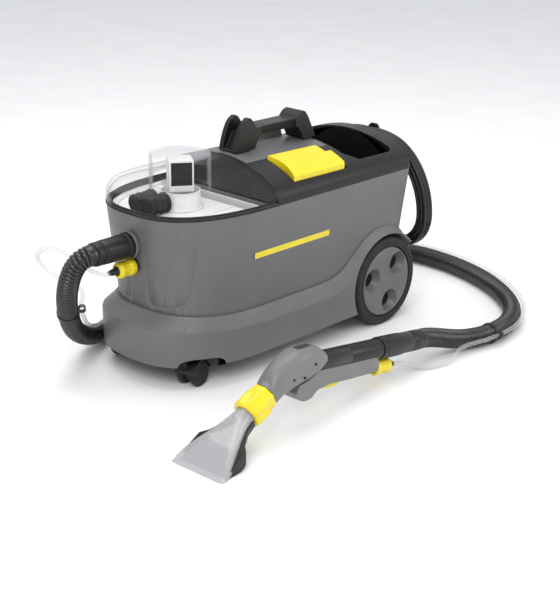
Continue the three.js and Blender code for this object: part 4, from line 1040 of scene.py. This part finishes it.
def make_lid():
    shell = lid_block("clear_lid", -0.2, LID_Z, SEAM_X - 0.3)
    carve(shell, lid_block("lid_inside", -LID_WALL, LID_Z - 20, SEAM_X - LID_WALL))
    top = [(0, 337), (DOME_R, 337), (DOME_R, DOME_TOP - 1), (DOME_R - 1, DOME_TOP), (DOME_R - 6, DOME_TOP + 1.5),
           (0, DOME_TOP + 1.5)]
    middle = (DOME_X, 0, 0)
    dome = lathe("clear_dome", top, middle, (0, 0, 1), 96)
    carve(dome, drum("dome_room", DOME_R - LID_WALL, 300, DOME_TOP - LID_WALL, middle, sides=96))
    carve(shell, drum("dome_hole", DOME_R, 330, 420, middle, sides=96))
    rounded(shell, (0.7, 2, 40), "clear_plastic", "lid", ["lid"])
    rounded(dome, (0.7, 2, 40), "clear_dome", "lid")


def make_seal():
    """The gasket on the body's rim, its lip inside the lid's edge, and a whitish clear bead around its foot: the lid
    flange's edge, lighter than the lid to paint its bright reflected line.
    """
    for name, outside, inside, heights, end_x, look, nodes in (
        ("lid_gasket", 0.6, -9, (311.3, 312.2, 315.0), SEAM_X - 0.3, "rubber_black", ["lid_seal"]),
        ("gasket_lip", -4.5, -8, (314.6, 318.4), SEAM_X - 4, "rubber_black", ()),
        # painted highlight: the whitish bead stands for the reflection on the lid flange's edge
        ("lid_bead_highlight", 1.1, 0.4, (310.8, 312.2), SEAM_X - 0.3, "clear_dome", ()),
    ):
        seal = slab(name, BODY_HALF + outside, BODY_FRONT - outside, BODY_REAR, heights)
        carve(seal, slab("gap", BODY_HALF + inside, BODY_FRONT - inside, BODY_REAR + 20, (300, 330)))
        within(seal, block("front_only", (-400, end_x), WIDE, (300, 330)))
        if nodes:
            soften(seal, 0.5, 2, 50)
        dress(seal, look, "lid", nodes)


def make_tank_deck():
    def rim(inset, z):
        return plan_ring(BODY_HALF - inset, BODY_FRONT + inset + 1.6, BODY_REAR, lambda x: z)

    deck = loft("tank_top", [rim(11.5, 297), rim(11.5, 305)])
    carve(deck, loft("dish", [rim(19, 300), rim(17.5, 312)]))
    within(deck, block("tank_part", (-400, -82), WIDE, (280, 310)))
    hole = drum("hole", 38, 280, 330, (DOME_X, 0, 0))
    carve(deck, hole, block("elbow_room", (-246, -205), (-14, 34), (280, 330)))
    rounded(deck, (0.9, 2), "white_plastic", "tank", ["tank_deck"])
    for k, y in enumerate((-96, -72, 72, 96)):
        rib = block(f"tank_rib_{k + 1}", (-190 + abs(y) * 0.4, -92), (y - 1.2, y + 1.2), (299.6, 303.4))
        rounded(rib, (0.5, 2), "white_plastic", "tank")


# ------------------------------------------------------------------ wheels
SCOOP_AT = 45
SCOOP_TURNS = [math.radians(degrees) for degrees in (45, 165, 285)]


def make_wheels():
    half = (WHEEL_OUTER_Y - WHEEL_INNER_Y) / 2
    for side, label in SIDES:
        hub = (WHEEL_X, side * (WHEEL_OUTER_Y + WHEEL_INNER_Y) / 2, WHEEL_Z)
        face = [
            (0, -half + 1), (24, -half + 1), (30, -half + 6), (DISC_R, -half + 6), (DISC_R, half - 7),
            (70.4, half - 6.8), (70.2, half - 1.6), (68.6, half - 0.3), (65, half), (24, half - 0.9),
            (21, half - 1.7), (18.5, half - 1.2), (15, half - 1.4), (0, half - 1.2),
        ]
        out = (0, side, 0)
        disc = lathe(f"wheel_face_{label}", face, hub, out, 96)
        cone = [(0, half - 17), (15.5, half - 17), (18.5, half - 14), (24.2, half + 1), (0, half + 1)]
        spots = [Vector(hub) + Vector((SCOOP_AT * math.cos(a) * -side, 0, SCOOP_AT * math.sin(a))) for a in SCOOP_TURNS]
        carve(disc, *[lathe("scoop", cone, at, out, 48) for at in spots])
        rounded(disc, (1.3, 3, 36), "body_grey", f"wheel_{label}", [f"wheel_disc_{label}"])
        tread = [
            (DISC_R + 0.3, -half), (84, -half), (88.6, -half + 2.4), (91, -half + 7), (TYRE_R, -half + 12),
            (TYRE_R, half - 12), (91, half - 7), (88.6, half - 2.4), (84, half), (81, half - 0.2), (80, half - 1),
            (77, half - 1), (75, half - 0.4), (DISC_R + 1.5, half - 1.6), (DISC_R + 1.3, half - 6.8),
            (DISC_R + 0.3, half - 7),
        ]
        turned(f"wheel_tyre_{label}", tread, hub, out, 128, ("tyre_rubber", f"wheel_{label}", [f"tyre_{label}"]),
               crease=40)
        for k, at in enumerate(spots):
            # painted shade: a black disc at the floor of each scoop darkens the pocket
            scoop_shade = drum(f"scoop_floor_shade_{label}_{k + 1}", 15.3, half - 16.9, half - 16.2, at, out, 48)
            dress(scoop_shade, "deep_black_and_shade", f"wheel_{label}")
        cap_at = (WHEEL_X, side * (WHEEL_OUTER_Y - 3.2), WHEEL_Z)
        turned(f"hub_cap_{label}", [(0, 0), (13, 0), (13, 1.6), (11.5, 2.6), (0, 3)], cap_at, out, 48,
               ("body_grey", f"wheel_{label}"))
        polished(f"caster_fork_{label}", "black_plastic", f"caster_{label}", 1.0)
        polished(f"caster_wheel_{label}", "rubber_black", f"caster_roller_{label}", 0.8)


# ------------------------------------------------------------------ ports, cuffs and couplings
def cuff_profile(length, steps):
    """A hose cuff: outer radii at distances along it, over a 16 mm bore."""
    return [(16, 0), *steps, (18.4, length), (16, length)]


def make_ports():
    ring = [(14.5, -14), (21, -14), (21, -2), (24, -2), (25.2, -0.4), (25.2, 2), (24.5, 3.2), (24, 3.4), (23.9, 1.2),
            (14.5, 1.2)]
    turned("port_ring", ring, (-277.4, 0, PORT_Z), (-1, 0, 0), 96, ("body_grey", "machine", ["suction_port"]))
    length = CUFF_START_X - CUFF_END_X
    steps = [(22.4, 0), (23, 0.8), (23.5, 2.4), (23.5, 7.4), (23, 8.6), (22.5, 9.2), (22.2, 30), (21.9, 52),
             (21.6, 60), (21.0, 61), (21.0, 63), (21.4, 64), (21.2, length - 3), (20.4, length - 0.6)]
    turned("hose_cuff", cuff_profile(length, steps), (CUFF_START_X, 0, PORT_Z), (-1, 0, 0), 64,
           ("black_plastic", "machine_cuff", ["machine_cuff"]))
    polished("spray_port", "black_plastic", width=0.5)
    sleeve = coupling("port_coupling", 38, 15.2, (-269.4, 0, SPRAY_Z), (-1, 0, 0), in_row)
    dress(sleeve, "yellow_plastic", "port_sleeve", ["port_sleeve"])


def coupling(name, length, radius, start, direction, place):
    """The yellow quick coupling: a waisted sleeve with finger ribs on its middle."""
    waist = [(0, 0.30), (0.5, 0.34), (1.2, 0.37), (1.2, 0.52), (1.2, 0.69), (0.5, 0.72), (0, 0.75)]
    profile = [
        (9.4, 0), (radius - 3.4, 0), (radius - 1.2, 0.8), (radius, 2.8),
        *[(radius - sunk, length * share) for sunk, share in waist],
        (radius, length - 6), (radius - 1.2, length - 2.4), (radius - 3.6, length - 0.3), (radius - 5, length),
        (9.4, length),
    ]

    def ribs(angle, distance):
        inside = length * 0.36 < distance < length * 0.70
        return 0.9 * (0.5 + 0.5 * math.cos(18 * angle)) if inside else 0

    sleeve = lathe(name, profile, start, direction, 144, place, ribs)
    return smooth(sleeve, 40)


# ------------------------------------------------------------------ hand tool
NOZZLE_LINE = [  # along, height, lean of the section, half-width, half-depth, squareness
    (0, 0, 0, 57, 9, 7), (12, 9, -20, 54, 10, 6), (34, 22, -40, 45, 11, 5), (62, 37, -55, 31, 13, 3.5),
    (86, 49, -63, 21, 17, 2.6), (103, 57, -65, 18, 18, 2), (118, 64, -65, 18, 18, 2),
]


def nozzle_rings(grow, sections=26, around=64):
    """Rings of the clear nozzle from its mouth to its neck; grow moves the skin outwards."""
    rings = []
    for k in range(sections + 1):
        s = NOZZLE_LINE[-1][0] * k / sections
        z, lean, wide, deep, power = (
            flowing([(row[0], row[j]) for row in NOZZLE_LINE], s) for j in range(1, 6))
        tilt = math.radians(lean)
        ring = []
        for i in range(around):
            across, depth = squared(2 * math.pi * i / around, power)
            depth *= deep + grow
            ring.append((s + depth * math.cos(tilt), across * (wide + grow), max(0.2, z + depth * math.sin(tilt))))
        rings.append(ring)
    return rings


def make_nozzle():
    outer, inner = nozzle_rings(0), nozzle_rings(-2)
    rings = outer + inner[::-1]
    points = [p for ring in rings for p in ring]
    fan = build("clear_fan", points, ring_faces(len(rings), len(outer[0]), closed=True), tool_in_row)
    smooth(fan, 50)
    dress(fan, "clear_fan", "machine", ["nozzle_clear"])
    polished("nozzle_back", "black_plastic", width=3.0, segments=4, crease=26)
    polished("union_nut", "yellow_plastic", "union_nut", 1.0, 3)


def make_tool():
    polished("tool_elbow", "light_grey", width=2.6, segments=4, crease=26)
    make_knuckle()
    polished("tool_lower_shell", "light_grey", width=3.0, segments=4, crease=26)
    polished("trigger", "yellow_plastic", "trigger", 2.0, 4)
    polished("valve_body", "brass", width=0.5)
    bar = [(GRIP_R - 2.5, 0), (GRIP_R, 0), (GRIP_R, 96), (GRIP_R - 0.4, 97), (GRIP_R - 0.4, 99), (GRIP_R, 100),
           (GRIP_R, 189), (GRIP_R - 1, 190), (GRIP_R - 2.5, 190)]
    turned("grip_bar", bar, GRIP_START, GRIP_AIM, 64, ("black_plastic", "machine", ["grip_tube"]), tool_in_row)
    steps = [(20, 0), (20.7, 0.8), (21, 2.6), (21, 9), (20.4, 10), (20.4, 12), (21, 13), (20.7, 62), (20.4, 65),
             (19.8, 67), (19.5, 69), (19.4, 92), (19.0, 93), (19.0, 95), (19.4, 96), (19.4, 124), (18.9, 127.4)]
    start = Vector(GRIP_START) + Vector(GRIP_AIM) * 190.6
    turned("tool_hose_cuff", cuff_profile(128, steps), start, GRIP_AIM, 64,
           ("black_plastic", "tool_cuff", ["tool_cuff"]), tool_in_row)
    sleeve = coupling("tool_coupling", 46, 14.2, (440, 0, 36.2), GRIP_AIM, tool_in_row)
    dress(sleeve, "yellow_plastic", "tool_sleeve", ["tool_sleeve"])


KNUCKLE = [  # along the tool, top, bottom, half-width, squareness
    (152, 103, 57, 22.3, 2), (160, 115, 61, 22.8, 2), (178, 127, 69, 24, 2.3), (200, 135, 76, 25.6, 2.8),
    (220, 139.5, 80, 26, 3), (240, 140, 82, 26, 3), (262, 137, 86, 25, 3), (276, 130.5, 91, 23.5, 2.7),
    (286, 122, 96, 21.5, 2.4),
]
KNUCKLE_SLOT = [(226, -5.5), (232, -8), (254, -8), (260, -5.5), (260, 5.5), (254, 8), (232, 8), (226, 5.5)]


def make_knuckle():
    """The rounded grey head where the elbow turns into the grip, with its top slot and screw holes; the slot's floor
    and the holes are black pieces of painted shade.
    """
    rings = []
    start, end = KNUCKLE[0][0], KNUCKLE[-1][0]
    for i in range(41):
        s = start + (end - start) * i / 40
        top, bottom, wide, power = (flowing([(row[0], row[j]) for row in KNUCKLE], s) for j in range(1, 5))
        ring = []
        for k in range(48):
            across, high = squared(2 * math.pi * k / 48, power)
            ring.append((s, across * wide, (top + bottom) / 2 + high * (top - bottom) / 2))
        rings.append(ring)
    head = loft("tool_knuckle", rings, tool_in_row)
    room = drum("grip_room", GRIP_R + 0.3, -1, 60, GRIP_START, GRIP_AIM, place=tool_in_row)
    slot = prism("slot", KNUCKLE_SLOT, "z", (124, 160), tool_in_row)
    seam = prism("seam", [(279, 133), (277, 134), (238, 79), (240, 78)], "y", (-40, -24.6), tool_in_row)
    carve(head, room, slot, seam)
    rounded(head, (1.2, 3, 40), "light_grey", "machine", ["tool_head"])
    # painted shade: a black floor in the top slot
    dress(prism("knuckle_slot_shade", KNUCKLE_SLOT, "z", (123.4, 126), tool_in_row), "deep_black_and_shade")
    # painted shade: black discs where the screw holes are
    for k, (s, z, y) in enumerate(((196, 100, -24.4), (222, 96, -25.9), (250, 112, -25.6))):
        hole_shade = drum(f"screw_hole_shade_{k + 1}", 2.2, 0, 1.6, (s, y, z), (0, -1, 0), 24, tool_in_row)
        dress(hole_shade, "deep_black_and_shade")


# ------------------------------------------------------------------ the rest of the CAD frame
def make_small_parts():
    for name, look, body, width in (
        ("base_cover", "black_plastic", "machine", 1.2),
        ("inlet_elbow", "deep_black_and_shade", "tank", 0.9),
        ("float_cage", "white_plastic", "tank", 0.5),
        ("float", "white_plastic", "float", 1.2),
        ("cable_saddle", "black_plastic", "machine", 0.8),
        ("cable_keeper", "black_plastic", "cable_keeper", 1.0),
        ("cable_gland", "rubber_black", "machine", 0.5),
        ("vacuum_motor", "steel", "machine", 1.5),
        ("fan_housing", "black_plastic", "machine", 1.5),
        ("spray_pump", "black_plastic", "machine", 1.0),
        ("pump_line", "rubber_black", "machine", 0.2),
        ("water_filter", "white_plastic", "machine", 0.6),
        ("waste_tank", "white_plastic", "tank", 0.8),
        ("axle_stub_near", "steel", "machine", 0.5),
        ("axle_stub_far", "steel", "machine", 0.5),
    ):
        polished(name, look, body, width)


def make_under_lid():
    """What shows through the clear lid: the filter's white frame and black mesh, and the inlet's ribbed spools."""
    turn = Matrix.Rotation(math.radians(-35), 3, "Z")

    def upright(name, x, y, z):
        corners = [(x[0], y[0]), (x[1], y[0]), (x[1], y[1]), (x[0], y[1])]
        outline = [(turn @ Vector((u, v, 0))).xy + Vector((DOME_X, 0)) for u, v in corners]
        return prism(name, outline, "z", z)

    cage = upright("filter_frame", (-22, 22), (-22, 22), (333.4, 390))
    rounded(cage, (1, 2), "white_plastic", "tank", ["lint_filter"])
    for k, (x, y) in enumerate((((-19, 19), (-22.5, -21.5)), ((21.5, 22.5), (-19, 19)))):
        dress(upright(f"filter_mesh_{k + 1}", x, y, (345, 387)), "deep_black_and_shade", "tank")
    for k, y in enumerate((-6, 26)):
        spool = [(11.6, 0), (16.4, 0), (16.4, 2.4), (15.2, 3), (15.2, 12), (17, 12.6), (17, 15), (15.2, 15.6),
                 (15.2, 26), (17, 26.6), (17, 29), (15.2, 29.6), (15.2, 38.8), (18.6, 39.4), (18.6, 43),
                 (17.8, 43.8), (11.6, 43.8)]
        turned(f"inlet_spool_{k + 1}", spool, (-240.2, y, 318.4), (1, 0, 0), 48, ("deep_black_and_shade", "tank"))


MATERIALS = make_materials()
for make in (
    make_camera, make_studio, make_floor, make_hose, make_spray_tube, make_mains_cable, make_body,
    make_bumper, make_caster_bay_shade, make_stripe, make_cover, make_deck, make_rockers, make_handle, make_lid,
    make_seal, make_tank_deck, make_wheels, make_ports, make_nozzle, make_tool, make_small_parts,
    make_under_lid,
):
    make()
